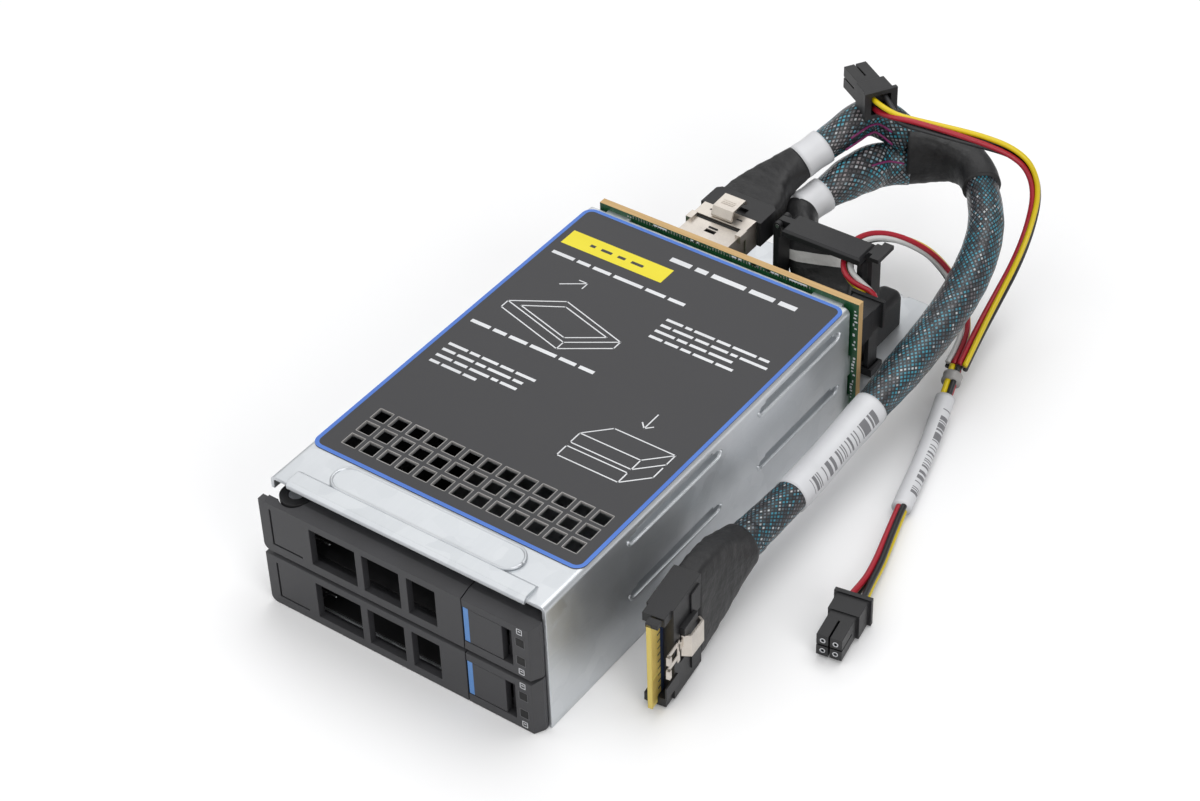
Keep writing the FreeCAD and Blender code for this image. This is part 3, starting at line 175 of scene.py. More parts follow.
def net_sleeve():
    """Open braided sleeve: two families of threads wind both ways; where both are thin, wires show through.

    A family's count is around * threads, plus or minus along / pitch, with a thread at each whole number."""
    tree, r, (wires, others, thread, painted_glint, along, around, threads, pitch), put = effect(
        "net sleeve", ("", "Wires Others Thread Glint", "Along Around Threads Pitch"), COAT)
    rise, turn = r.math("DIVIDE", along, pitch), r.times(around, threads)
    families = [r.math(way, turn, rise) for way in ("ADD", "SUBTRACT")]
    gaps = [r.ramp(r.math("PINGPONG", r.math("ADD", count, 0.5), 0.5), 0.10, 0.30) for count in families]
    window = r.times(*gaps)
    cell = r.joined(*[r.math("ROUND", count) for count in families])
    luck = r.add("TexWhiteNoise", {"noise_dimensions": "3D"}, Vector=cell)
    chance, other = luck.outputs["Value"], r.parts(luck.outputs["Color"])[1]
    band = r.joined(r.times(along, 26.0, r.times(around, 3.0)), r.times(along, 14.0))
    share = r.ramp(r.times(chance, 0.25, r.noise(band, 1.6, 1.0)), 0.52, 0.74)
    core = r.blend(share, wires, others)
    core = r.blend(r.ramp(other, 0.15, 0.9, 0.0, 0.85), core, (0.012, 0.014, 0.018, 1.0))
    # Painted highlight: a few open cells take the pale highlight colour, as light catching the wires inside
    lit = r.blend(r.times(window, r.ramp(chance, 0.86, 0.96)), core, painted_glint)
    crown = r.math("MAXIMUM", *[r.math("SUBTRACT", 1.0, gap) for gap in gaps])
    r.fill(put, Colour=r.blend(r.times(window, 0.94), thread, lit), Roughness=r.times(window, -0.12, 0.42),
           Height=r.times(crown, 0.5, r.times(window, other)))
    return tree


def bar_print():
    """Upright bars of uneven width in a window of the surface, as on a printed sleeve."""
    tree, r, (along, around, start, end, low, high, bars), put = effect(
        "bar print", ("", "", "Along Around Start End Low High Bars"), ("", "", "Ink"))
    step = r.math("FLOOR", r.times(along, bars))
    luck = r.add("TexWhiteNoise", {"noise_dimensions": "1D"}, W=step).outputs["Value"]
    field = r.times(r.between(along, start, end), r.between(around, low, high))
    r.fill(put, Ink=r.times(field, r.math("GREATER_THAN", luck, 0.45)))
    return tree


TONE, ZINC, NET, BARS = surface_tone(), zinc_coat(), net_sleeve(), bar_print()


def new_material(name):
    """A material with a plain shader, and the recipe that adds to it."""
    material = bpy.data.materials.new(name)
    material.use_nodes = True
    return material, Recipe(material.node_tree)


def relief(r, height, depth, edge=0.0):
    """Bump of a stated depth over a slightly rounded edge."""
    bump = r.add("Bump", Height=height, Distance=depth, Strength=1.0)
    if edge:
        r.feed(bump.inputs["Normal"], r.add("Bevel", {"samples": 4}, Radius=edge).outputs[0])
    return bump.outputs[0]


def finish_coat(r, made, depth, edge=0.0, **more):
    """A group's colour, roughness and height on the material's shader."""
    r.surface(Base_Color=made["Colour"], Roughness=made["Roughness"],
              Normal=relief(r, made["Height"], depth, edge), **more)


def moulded(name, tone, worn, smooth, dull, patches=60.0, grain=2600.0, depth=0.00002, edge=0.00025,
            metallic=0.0):
    """Plastic as it leaves the mould: even colour, faint patches and a fine spark texture."""
    material, r = new_material(name)
    made = r.use(TONE, Place=r.place(), Tone=(*tone, 1), Worn=(*worn, 1), Patches=patches, Grain=grain,
                 Smooth=smooth, Dull=dull)
    finish_coat(r, made, depth, edge, Metallic=metallic)
    return material


def thin(name, tone, worn, smooth, dull):
    """An ink, skin or thread, too thin for an edge of its own."""
    return moulded(name, tone, worn, smooth, dull, edge=0.0)


def metal(name, tone, worn, smooth, dull):
    """Drawn or rolled metal: the same patches and a finer grain on a bare metal shader."""
    return moulded(name, tone, worn, smooth, dull, 90.0, 3000.0, 0.000006, 0.00015, 1.0)


def galvanised(name, tone, shade):
    """Sheet under its zinc coat, with soft edges."""
    material, r = new_material(name)
    made = r.use(ZINC, Place=r.place(), Tone=(*tone, 1), Shade=(*shade, 1))
    finish_coat(r, made, 0.000012, 0.0003, Metallic=0.85)
    return material


def circuit_board(name):
    """Green mask on the faces, with faint copper runs under it, and bare tan laminate on the cut edges."""
    material, r = new_material(name)
    place = r.place()
    facing = r.math("ABSOLUTE", r.parts(r.add("TexCoord").outputs["Normal"])[1])
    face = r.math("GREATER_THAN", facing, 0.5)
    runs = r.add("TexBrick", {"offset": 0.37, "squash": 1.7}, Scale=1.0, Mortar_Size=0.05,
                 Vector=r.stretched(place, (310.0, 310.0, 420.0)), Color1=(0.008, 0.055, 0.020, 1),
                 Color2=(0.012, 0.075, 0.028, 1), Mortar=(0.016, 0.10, 0.036, 1))
    layers = r.noise(r.stretched(place, (60.0, 2600.0, 60.0)), 1.0, 2.0)
    fibre = r.blend(layers, (0.44, 0.27, 0.10, 1), (0.64, 0.44, 0.21, 1))
    r.surface(Base_Color=r.blend(face, fibre, runs.outputs["Color"]), Roughness=r.times(face, -0.35, 0.68),
              Normal=relief(r, layers, 0.00003))
    return material


def sleeve_place(r):
    """Length and turn on a sleeve, from its own map."""
    return r.parts(r.add("UVMap", {"uv_map": "Sleeve"}).outputs[0])[:2]


def braided(name, threads, pitch, wires, others):
    """Open net over coloured wires: threads round the cable, and the length of one crossing."""
    material, r = new_material(name)
    along, around = sleeve_place(r)
    # The pale colour given for the cells' highlights is painted highlight, not a colour of the wires
    made = r.use(NET, Along=along, Around=around, Threads=threads, Pitch=pitch, Wires=(*wires, 1),
                 Others=(*others, 1), Thread=(0.004, 0.004, 0.006, 1), Glint=(0.48, 0.52, 0.54, 1))
    finish_coat(r, made, 0.0004, Specular_IOR_Level=0.7)
    return material


def shrink_sleeve(name, low=0.0, high=0.0):
    """Black shrunk sleeve: satin, with soft creases and a dusty bloom; white wrap between two heights."""
    material, r = new_material(name)
    place = r.place()
    made = r.use(TONE, Place=place, Tone=(0.005, 0.005, 0.006, 1), Worn=(0.011, 0.011, 0.012, 1),
                 Patches=70.0, Grain=900.0, Smooth=0.42, Dull=0.62)
    wrapped = r.between(r.parts(place)[2], low, high)
    r.surface(Base_Color=r.blend(wrapped, made["Colour"], (0.62, 0.61, 0.60, 1)),
              Roughness=made["Roughness"], Normal=relief(r, r.noise(place, 170.0, 4.0, 0.55), 0.0007))
    return material


def printed_sleeve(name, start, end, low, high, bars):
    """White film with a printed field of bars, and a faint soiling."""
    material, r = new_material(name)
    along, around = sleeve_place(r)
    ink = r.use(BARS, Along=along, Around=around, Start=start, End=end, Low=low, High=high, Bars=bars)["Ink"]
    soil = r.noise(r.place(), 90.0, 4.0)
    paper = r.blend(r.ramp(soil, 0.45, 0.9), (0.66, 0.665, 0.685, 1), (0.58, 0.585, 0.60, 1))
    r.surface(Base_Color=r.blend(r.times(ink, 0.85), paper, (0.10, 0.10, 0.11, 1)),
              Roughness=r.ramp(soil, 0.2, 0.8, 0.34, 0.5), Normal=relief(r, soil, 0.0002))
    return material


MAT = {
    "zinc": galvanised("zinc coated sheet", (0.655, 0.675, 0.695), (0.565, 0.59, 0.615)),
    "front": moulded("front moulding", (0.034, 0.034, 0.037), (0.042, 0.042, 0.046), 0.44, 0.58),
    "frame": moulded("tray moulding", (0.008, 0.008, 0.009), (0.012, 0.012, 0.013), 0.45, 0.62),
    "blue": moulded("blue moulding", (0.10, 0.27, 0.62), (0.13, 0.31, 0.68), 0.34, 0.46),
    "nylon": moulded("black nylon", (0.006, 0.006, 0.007), (0.011, 0.011, 0.013), 0.42, 0.60, edge=0.0002),
    "clear": moulded("smoked rod", (0.004, 0.004, 0.005), (0.006, 0.006, 0.007), 0.30, 0.40),
    "steel": metal("bright steel", (0.60, 0.61, 0.63), (0.50, 0.51, 0.53), 0.22, 0.36),
    "tin": metal("tinned sheet", (0.66, 0.61, 0.55), (0.54, 0.50, 0.46), 0.30, 0.44),
    "board": circuit_board("backplane laminate"),
    "film": moulded("charcoal film", (0.026, 0.026, 0.029), (0.031, 0.031, 0.034), 0.42, 0.54, patches=30.0,
                    depth=0.000008, edge=0.0),
    "rim": thin("blue ink", (0.055, 0.16, 0.55), (0.07, 0.19, 0.60), 0.40, 0.5),
    "notice": thin("yellow ink", (0.78, 0.66, 0.01), (0.80, 0.69, 0.02), 0.40, 0.5),
    "ink": thin("white ink", (0.74, 0.75, 0.77), (0.66, 0.67, 0.69), 0.45, 0.6),
    "sleeve": shrink_sleeve("black shrunk sleeve"),
    "wrapped sleeve": shrink_sleeve("wrapped sleeve", 0.0249, 0.0273),
    "trunk": braided("trunk braid", 26.0, 0.0017, (0.030, 0.26, 0.36), (0.13, 0.12, 0.135)),
    "branch": braided("branch braid", 24.0, 0.0018, (0.035, 0.40, 0.54), (0.30, 0.27, 0.28)),
    "trunk label": printed_sleeve("trunk label film", 0.004, 0.034, 0.85, 0.99, 2600.0),
    "wire label": printed_sleeve("wire label film", 0.004, 0.037, 0.80, 0.97, 2800.0),
    "tape": printed_sleeve("white tape", -2.0, -1.0, 0.0, 0.0, 10.0),
    "red wire": thin("red insulation", (0.36, 0.008, 0.022), (0.42, 0.014, 0.03), 0.30, 0.42),
    "yellow wire": thin("yellow insulation", (0.72, 0.54, 0.004), (0.76, 0.58, 0.01), 0.30, 0.42),
    "black wire": thin("black insulation", (0.009, 0.009, 0.010), (0.018, 0.018, 0.020), 0.32, 0.46),
    "white wire": thin("white insulation", (0.62, 0.62, 0.61), (0.56, 0.56, 0.55), 0.30, 0.42),
    "gold": metal("gold contacts", (0.93, 0.72, 0.24), (0.88, 0.66, 0.20), 0.34, 0.46),
    "card": moulded("card laminate", (0.80, 0.62, 0.14), (0.84, 0.66, 0.18), 0.34, 0.46),
    "mask": thin("dark blue mask", (0.008, 0.018, 0.055), (0.012, 0.024, 0.065), 0.30, 0.42),
    "amber": thin("amber tape", (0.46, 0.20, 0.03), (0.52, 0.24, 0.04), 0.22, 0.34),
    "chip": moulded("chip package", (0.012, 0.012, 0.013), (0.020, 0.020, 0.022), 0.40, 0.55),
    "magenta": thin("magenta thread", (0.16, 0.008, 0.09), (0.20, 0.012, 0.11), 0.40, 0.55),
    # Painted shade: near-black for the shade inside slit openings and recessed lamp windows
    "dark gap": thin("dark gap", (0.004, 0.004, 0.004), (0.006, 0.006, 0.006), 0.7, 0.8),
    # Painted highlight: pale grey for the lit rim round each lamp window
    "outline": thin("painted rim highlight", (0.11, 0.11, 0.115), (0.13, 0.13, 0.135), 0.45, 0.55),
    "divide": thin("grey ring", (0.30, 0.29, 0.28), (0.36, 0.35, 0.34), 0.30, 0.42),
}


# Finishes of the frame's own parts
def dress(name, *members):
    """Gives the frame's own parts one finish."""
    for member in members:
        slots = nodes[member].data.materials
        slots.clear()
        slots.append(MAT[name])


dress("zinc", "cage_shell", "base_plate")
dress("film", "label_film")
dress("board", "backplane_board")
dress("steel", "board_screws", "clamp_pin")
dress("nylon", "power_socket", "clamp_base", "clamp_strap", "clamp_latch")
dress("nylon", "lead_plug", "spare_plug", "board_plug", "host_plug")
dress("tin", "host_latch")
dress("card", "host_card")
for level in LEVELS:
    dress("frame", "tray_frame_" + level)
    dress("front", "bezel_block_" + level, "eject_lever_" + level, "release_button_" + level)
    dress("steel", "lever_pin_" + level, "lever_spring_" + level, "button_spring_" + level)
    dress("blue", "button_stripe_" + level)
    dress("clear", "light_pipes_" + level)
    dress("nylon", "drive_socket_" + level)
for side in DATA_PLUGS:
    dress("tin", "data_socket_" + side, "data_cover_" + side, "data_latch_" + side)
    dress("nylon", "data_plug_" + side)


# Surfaces
def stand(name, data):
    """A new object of the scene for a mesh, a curve, a lamp or a camera."""
    thing = bpy.data.objects.new(name, data)
    bpy.context.scene.collection.objects.link(thing)
    return thing


def add_piece(name, mesh, body, slot, *materials, node=None):
    """A finished piece on its body; where a node is named, the piece takes that node's place."""
    piece = stand(name, mesh)
    for material in materials:
        mesh.materials.append(MAT[material])
    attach(piece, body)
    if node:
        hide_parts(node)
    return piece


def mesh_of(name, points, faces, smooth=True, kinds=None):
    """A mesh from arrays of points and faces; kinds gives the number of each face's material."""
    mesh = bpy.data.meshes.new(name)
    mesh.from_pydata(points.reshape(-1, 3).tolist(), [], faces)
    mesh.polygons.foreach_set("use_smooth", [smooth] * len(mesh.polygons))
    if kinds is not None:
        mesh.polygons.foreach_set("material_index", kinds)
    return mesh


def spread(x, y, z):
    """Points from three coordinates, where a single number holds for all of them."""
    return np.stack(np.broadcast_arrays(x, y, z), -1)


def soft_step(x):
    """0 up to 0, 1 from 1 on, and three squares less two cubes between them."""
    x = np.clip(x, 0, 1)
    return x * x * (3 - 2 * x)


def grid_quads(rows, columns, closed=True):
    """Quads between neighbouring rows of points; on a closed grid the last column joins the first."""
    i, j = np.indices((rows - 1, columns if closed else columns - 1))
    after = (j + 1) % columns
    row, beyond = i * columns, (i + 1) * columns
    return np.stack([row + j, row + after, beyond + after, beyond + j], -1).reshape(-1, 4)


def ring_faces(rows, columns, first=0):
    """Quads between neighbouring closed rings, and one cap at each end."""
    ring = np.arange(columns) + first
    caps = [ring[::-1].tolist(), (ring + (rows - 1) * columns).tolist()]
    return (grid_quads(rows, columns) + first).tolist() + caps


def smooth_line(points, step=0.0012):
    """Even steps along a quadratic NURBS line whose control points are given."""
    curve = bpy.data.curves.new("guide", "CURVE")
    curve.dimensions = "3D"
    curve.resolution_u = 24
    spline = curve.splines.new("NURBS")
    spline.points.add(len(points) - 1)
    spline.points.foreach_set("co", np.c_[np.array(points), np.ones(len(points))].ravel())
    spline.order_u = 3
    spline.use_endpoint_u = True
    holder = stand("guide", curve)
    mesh = bpy.data.meshes.new_from_object(holder.evaluated_get(bpy.context.evaluated_depsgraph_get()))
    line = np.zeros(len(mesh.vertices) * 3)
    mesh.vertices.foreach_get("co", line)
    bpy.data.objects.remove(holder)
    bpy.data.meshes.remove(mesh)
    return spaced(line.reshape(-1, 3), step)


def length_along(line):
    """Length from the start of a line to each of its points."""
    return np.r_[0, np.cumsum(np.linalg.norm(np.diff(line, axis=0), axis=1))]


def spaced(line, step):
    """The same line at even steps of length."""
    gone = length_along(line)
    keep = np.r_[True, np.diff(gone) > 1e-9]
    marks = np.linspace(0, gone[-1], max(4, int(gone[-1] / step)))
    return np.stack([np.interp(marks, gone[keep], line[keep, k]) for k in range(3)], -1)


def carried_frames(line, first_side):
    """Side and up along a line; the side is carried forward with no twist of its own."""
    tangent = np.gradient(line, axis=0)
    tangent = tangent / np.maximum(np.linalg.norm(tangent, axis=-1, keepdims=True), 1e-12)
    sides = np.zeros_like(line)
    side = np.array(first_side, float)
    for k, t in enumerate(tangent):
        side = side - t * side.dot(t)
        side = side / np.linalg.norm(side)
        sides[k] = side
    return sides, np.cross(tangent, sides)


def round_sweep(line, sides, ups, wide, tall, columns=48, square=2.0):
    """Rings carried along a line: centre + side * wide * cos + up * tall * sin, squared off by a power."""
    angle = np.linspace(0, 2 * np.pi, columns, endpoint=False)
    c, s = np.cos(angle), np.sin(angle)
    power = 2.0 / np.asarray(square, float).reshape(-1, 1)
    x = np.sign(c) * np.abs(c) ** power * np.asarray(wide, float).reshape(len(np.atleast_1d(wide)), -1)
    y = np.sign(s) * np.abs(s) ** power * np.asarray(tall, float).reshape(len(np.atleast_1d(tall)), -1)
    x, y = np.broadcast_to(x, (len(line), columns)), np.broadcast_to(y, (len(line), columns))
    return line[:, None] + sides[:, None] * x[..., None] + ups[:, None] * y[..., None]


def sleeve_mesh(name, rings, line):
    """A closed swept surface with its length and turn written to a UV map, seam at the last column."""
    rows, columns = rings.shape[:2]
    mesh = mesh_of(name, rings, ring_faces(rows, columns))
    i, j = np.indices((rows - 1, columns))
    u = length_along(line)[np.stack([i, i, i + 1, i + 1], -1)]
    v = np.stack([j, j + 1, j + 1, j], -1) / columns
    ends = np.zeros(4 * columns)
    mesh.uv_layers.new(name="Sleeve").data.foreach_set("uv", np.r_[np.stack([u, v], -1).ravel(), ends])
    return mesh


def tube_piece(name, line, radius, first_side, body, slot, material, columns=10, node=None):
    """Round wire, bead or thread: a circle of one radius carried along a line."""
    rings = round_sweep(line, *carried_frames(line, first_side), radius, radius, columns)
    mesh = mesh_of(name, rings, ring_faces(len(line), columns))
    return add_piece(name, mesh, body, slot, material, node=node)


# Camera
def set_camera():
    """Long lens, from the front right and above: from straight down, rolled, tipped up, then swung round."""
    data = bpy.data.cameras.new("view")
    data.lens = 81.4
    data.sensor_width = 36.0
    data.clip_start, data.clip_end = 0.05, 10.0
    camera = stand("view", data)
    place = Matrix.Translation((0.3157, -0.4066, 0.4693))
    for degrees, axis in ((36.99, "Z"), (49.85, "X"), (-2.16, "Z")):
        place = place @ Matrix.Rotation(math.radians(degrees), 4, axis)
    camera.matrix_world = place
    bpy.context.scene.camera = camera


set_camera()


# Cables
TRUNK = [(.0522, .0006, .0152), (.0527, .0140, .0149), (.0527, .0300, .0150), (.0527, .0460, .0164),
         (.0536, .0620, .0190), (.0541, .0780, .0216), (.0542, .0920, .0240), (.0534, .1050, .0272),
         (.0506, .1180, .0308), (.0454, .1290, .0336), (.0388, .1367, .0355)]
LEFT_BRANCH = [(.0174, .1360, .0416), (.0106, .1350, .0460), (.0050, .1314, .0484), (.0018, .1214, .0449),
               (-.0039, .1086, .0402)]
RIGHT_BRANCH = [(.0174, .1364, .0327), (.0112, .1334, .0332), (.0082, .1256, .0344), (.0057, .1165, .0338),
                (.0007, .1023, .0300)]
LEAD_WIRES = [(.0807, .0035, .0044), (.0783, .0180, .0033), (.0736, .0336, .0026), (.0694, .0500, .0024),
              (.0658, .0646, .0029), (.0616, .0794, .0046), (.0576, .0936, .0080)]
SPARE_WIRES = [(.0591, .0944, .0083), (.0569, .1060, .0105), (.0554, .1186, .0140), (.0552, .1292, .0195),
               (.0550, .1366, .0270), (.0544, .1404, .0360), (.0518, .1396, .0440), (.0470, .1377, .0480),
               (.0404, .1344, .0505), (.0322, .1298, .0530), (.0265, .1262, .0550), (.0216, .1234, .0565),
               (.0168, .1238, .0570), (.0111, .1274, .0570)]
BOARD_WIRES = [(.0559, .0939, .0080), (.0542, .1036, .0082), (.0500, .1120, .0102), (.0440, .1164, .0160),
               (.0374, .1146, .0240), (.0324, .1088, .0304), (.0274, .1026, .0340), (.0252, .0954, .0356),
               (.0264, .0882, .0356), (.0292, .0833, .0344), (.0332, .0832, .0320), (.0368, .0829, .0304),
               (.0385, .0806, .0298), (.0386, .0775, .0296)]


def swollen(rings, line, swell):
    """Rings whose points stand off their line by a share more or less."""
    return line[:, None] + (rings - line[:, None]) * swell[..., None]


def braid_piece(name, points, wide, tall, first_side, material, lumps, node):
    """A braided cable: an oval sweep whose side swells over the wires inside by cosines of turn and length.

    Widths and heights are (share of the length, half size) pairs."""
    line = smooth_line(points)
    sides, ups = carried_frames(line, first_side)
    along = length_along(line)[:, None]
    share = along[:, 0] / along[-1, 0]
    wide, tall = (np.interp(share, *np.array(stations).T) for stations in (wide, tall))
    angle = np.linspace(0, 2 * np.pi, 64, endpoint=False)[None]
    swell = 1 + lumps * np.cos(3 * angle + along * 42) + 0.6 * lumps * np.cos(5 * angle - along * 65 + 1.0)
    swell = swell + 0.008 * np.sin(along * 900 + 2 * angle)
    rings = swollen(round_sweep(line, sides, ups, wide, tall, 64), line, swell)
    return add_piece(name, sleeve_mesh(name, rings, line), "cage", "braid", material, node=node), line


CORNERS = np.array([(-1, -1), (1, -1), (-1, 1), (1, 1)])   # where the four wires lie
PLUG_GRID = 0.00165              # half the pitch of the plugs' holes
FAN = 0.014                      # length over which the wires close up behind a plug
WIRE_SIDES = 16


def wire_piece(name, points, radius, colours, half, plug_end, turns, node):
    """Four insulated wires beside one line, at the corners of a square that turns on the way to the join.

    A wire's centre is line + side * a + up * b, and (a, b) runs from the plug's grid to the turned corner."""
    line = smooth_line(points)
    sides, ups = carried_frames(line, (1, 0, 0))
    along = length_along(line)
    share = along / along[-1]
    angle = turns * 2 * np.pi * soft_step((share - 0.42) / 0.46)
    c, s = np.cos(angle), np.sin(angle)
    closed = soft_step((along if plug_end == "start" else along[-1] - along) / FAN)[:, None]
    rings, faces = [], []
    for k, corner in enumerate(CORNERS):
        a, b = corner * half
        places = corner * PLUG_GRID * (1 - closed) + np.stack([a * c - b * s, a * s + b * c], -1) * closed
        wander = 0.00025 * np.sin(along * (55 + 9 * k) + 2.1 * k)
        places = places + (wander * np.sin(np.pi * share))[:, None]
        centre = line + sides * places[:, :1] + ups * places[:, 1:]
        rings.append(round_sweep(centre, *carried_frames(centre, (1, 0, 0)), radius, radius, WIRE_SIDES))
        faces += ring_faces(len(line), WIRE_SIDES, k * len(line) * WIRE_SIDES)
    kinds = np.repeat(range(len(CORNERS)), len(faces) // len(CORNERS))
    mesh = mesh_of(name, np.concatenate(rings), faces, kinds=kinds)
    materials = [colour + " wire" for colour in colours]
    return add_piece(name, mesh, "cage", "wire_insulation", *materials, node=node), line


def band_piece(name, line, start, end, wide, tall, first_side, material, slot, node):
    """A film sleeve round a cord, with slightly lifted lips; a length below 0 counts back from the end."""
    sides, ups = carried_frames(line, first_side)
    along = length_along(line)
    start, end = (x + along[-1] if x < 0 else x for x in (start, end))
    marks = np.linspace(start, end, max(6, int((end - start) / 0.001)))
    part, s, u = (np.stack([np.interp(marks, along, axis) for axis in v.T], -1) for v in (line, sides, ups))
    share = np.linspace(0, 1, len(part))
    lift = 1 + 0.012 * np.cos(2 * np.pi * share) + 0.01 * np.sin(9 * share)
    outer = round_sweep(part, s, u, wide * lift, tall * lift, 64)
    return add_piece(name, sleeve_mesh(name, outer, part), "cage", slot, material, node=node)


BOOT_SIDES = 72


def boot_piece(name, points, stations, first_side, node, folds, square=(6, 2.1), material="sleeve"):
    """A shrunk boot: sections change evenly from station to station; shallow folds cross it where it bends.

    A station is (share of the length, half width, half height)."""
    line = smooth_line(points, 0.0007)
    sides, ups = carried_frames(line, first_side)
    share = length_along(line) / length_along(line)[-1]
    at, wides, talls = np.array(stations).T
    wide, tall = np.interp(share, at, wides), np.interp(share, at, talls)
    for size in (wide, tall):
        for _ in range(6):
            size[1:-1] = (size[:-2] + size[1:-1] + size[2:]) / 3
    corner = np.interp(share, (0, 0.5, 1), (square[0], (square[0] + square[1]) / 2, square[1]))
    rings = round_sweep(line, sides, ups, wide, tall, BOOT_SIDES, corner)
    angle = np.linspace(0, 2 * np.pi, BOOT_SIDES, endpoint=False)[None]
    s = share[:, None]
    crease = np.sin(s * 31 + 2.0 * np.cos(angle)) * np.cos(angle * 2 + 1.0)
    crease = crease + 0.6 * np.sin(s * 53 + 3 * np.sin(angle + 0.7))
    rings = swollen(rings, line, 1 + folds * np.sin(np.pi * s) ** 0.7 * crease)
    mesh = mesh_of(name, rings, ring_faces(len(line), BOOT_SIDES))
    return add_piece(name, mesh, "cage", "connector_black", material, node=node), line


lead_wires, lead_line = wire_piece("lead_wire_set", LEAD_WIRES, .00082, ("red", "black", "black", "yellow"),
                                   .00083, "start", 0.5, "lead_wires")
spare_wires, spare_line = wire_piece("spare_wire_set", SPARE_WIRES, .00074,
                                     ("red", "yellow", "black", "black"), .00080, "end", 0.35, "spare_wires")
board_wires, board_line = wire_piece("board_wire_set", BOARD_WIRES, .00074,
                                     ("white", "red", "black", "yellow"), .00080, "end", 0.3, "board_wires")
trunk, trunk_line = braid_piece(
    "data_trunk_braid", TRUNK,
    [(0, .0049), (.15, .0043), (.38, .0043), (.5, .0054), (.75, .0055), (1, .0044)],
    [(0, .0048), (.15, .0044), (.38, .0044), (.55, .0047), (.75, .0047), (1, .0046)],
    (1, 0, 0), "trunk", 0.022, "data_trunk")
left_branch, left_line = braid_piece(
    "data_branch_left_braid", LEFT_BRANCH, [(0, .0050), (.3, .0062), (.55, .0058), (.7, .0045), (1, .0043)],
    [(0, .0042), (.4, .0045), (1, .0042)], (0, 0, 1), "branch", 0.035, "data_branch_left")
right_branch, right_line = braid_piece(
    "data_branch_right_braid", RIGHT_BRANCH, [(0, .0056), (.3, .0070), (.55, .0062), (.7, .0045), (1, .0043)],
    [(0, .0046), (.3, .0056), (.55, .0052), (.7, .0044), (1, .0042)], (0, 0, 1), "branch", 0.035,
    "data_branch_right")
host_boot, _ = boot_piece(
    "host_plug_boot", [(.05469, -.02867, .0152), (.0535, -.0200, .0152), (.0524, -.0105, .0152),
                       (.0521, -.0045, .0152), (.0521, -.0022, .0152)],
    [(0, .0036, .0140), (.2, .0038, .0138), (.55, .0044, .0118), (.85, .0052, .0078), (1, .0055, .0066)],
    (1, 0, 0), "host_boot", 0.010)
left_boot, _ = boot_piece(
    "data_boot_left_sleeve", [(-.0065, .0905, .0366), (-.0066, .0960, .0370), (-.0061, .1038, .0384),
                              (-.0030, .1107, .0410)],
    [(0, .0088, .0037), (.25, .0084, .0040), (.5, .0064, .0046), (.72, .0051, .0047), (1, .0049, .0048)],
    (1, 0, 0), "data_boot_left", 0.014)
right_boot, _ = boot_piece(
    "data_boot_right_sleeve", [(.0168, .0905, .0175), (.0166, .0940, .0184), (.0110, .0964, .0244),
                               (.0030, .0985, .0290), (.0015, .1046, .0306)],
    [(0, .0088, .0037), (.3, .0078, .0041), (.6, .0060, .0046), (1, .0052, .0050)],
    (1, 0, 0), "data_boot_right", 0.012, material="wrapped sleeve")
split_boot, _ = boot_piece(
    "split_sleeve", [(.0402, .1351, .0351), (.0370, .1388, .0360), (.0310, .1412, .0367),
                     (.0230, .1398, .0371), (.0162, .1358, .0371)],
    [(0, .0054, .0053), (.45, .0064, .0048), (.8, .0088, .0050), (1, .0094, .0052)],
    (0, 0, 1), "split_boot", 0.012, (2.1, 4))
CUFF = np.array([(.0521, -.0045, .0152), (.0522, .0006, .0152), (.0523, .0030, .0152)])
trunk_cuff = band_piece("data_trunk_cuff", spaced(CUFF, .0006), .0, .0068, .0049, .0050, (1, 0, 0), "trunk",
                        "braid", None)
trunk_label = band_piece("trunk_label_sleeve", trunk_line, .0192, .0565, .0047, .0048, (1, 0, 0),
                         "trunk label", "white_film", "trunk_label")
left_tape, right_tape = (
    band_piece(f"branch_tape_{side}_sleeve", line, -.0106, -.0024, .0050, .0049, (0, 0, 1), "tape",
               "white_film", "branch_tape_" + side)
    for side, line in (("left", left_line), ("right", right_line)))
wire_label = band_piece("wire_label_sleeve", lead_line, .0410, .0830, .0026, .0023, (1, 0, 0), "wire label",
                        "white_film", "wire_label")


# Printed marks, contacts and small parts
CORNER_SIGNS = np.array([(x, y, z) for z in (-1, 1) for x, y in ((-1, -1), (1, -1), (1, 1), (-1, 1))])
BOX_SIDES = np.array([(0, 3, 2, 1), (4, 5, 6, 7), (0, 1, 5, 4), (1, 2, 6, 5), (2, 3, 7, 6), (3, 0, 4, 7)])


def blocks(centres, halves, axes=np.eye(3)):
    """Boxes: each corner is centre plus or minus the half size along each of three axes."""
    centres, halves = (np.atleast_2d(np.array(v, float)) for v in (centres, halves))
    count = len(centres)
    reach = np.broadcast_to(CORNER_SIGNS * halves[:, None], (count, 8, 3))
    corners = centres[:, None] + np.einsum("nks,nsd->nkd", reach, np.broadcast_to(axes, (count, 3, 3)))
    return corners.reshape(-1, 3), (BOX_SIDES + 8 * np.arange(count)[:, None, None]).reshape(-1, 4)


def gather(name, body, slot, groups):
    """One flat-shaded piece from several (points, faces, material) groups."""
    points, faces, kinds, first = [], [], [], 0
    for k, (corners, sides, _) in enumerate(groups):
        points.append(corners)
        faces += (sides + first).tolist()
        kinds += [k] * len(sides)
        first += len(corners)
    mesh = mesh_of(name, np.concatenate(points), faces, False, kinds)
    return add_piece(name, mesh, body, slot, *[material for _, _, material in groups])


INK = 0.00001                    # half the thickness of a printed mark
INK_Z = 0.03922                  # just above the label film


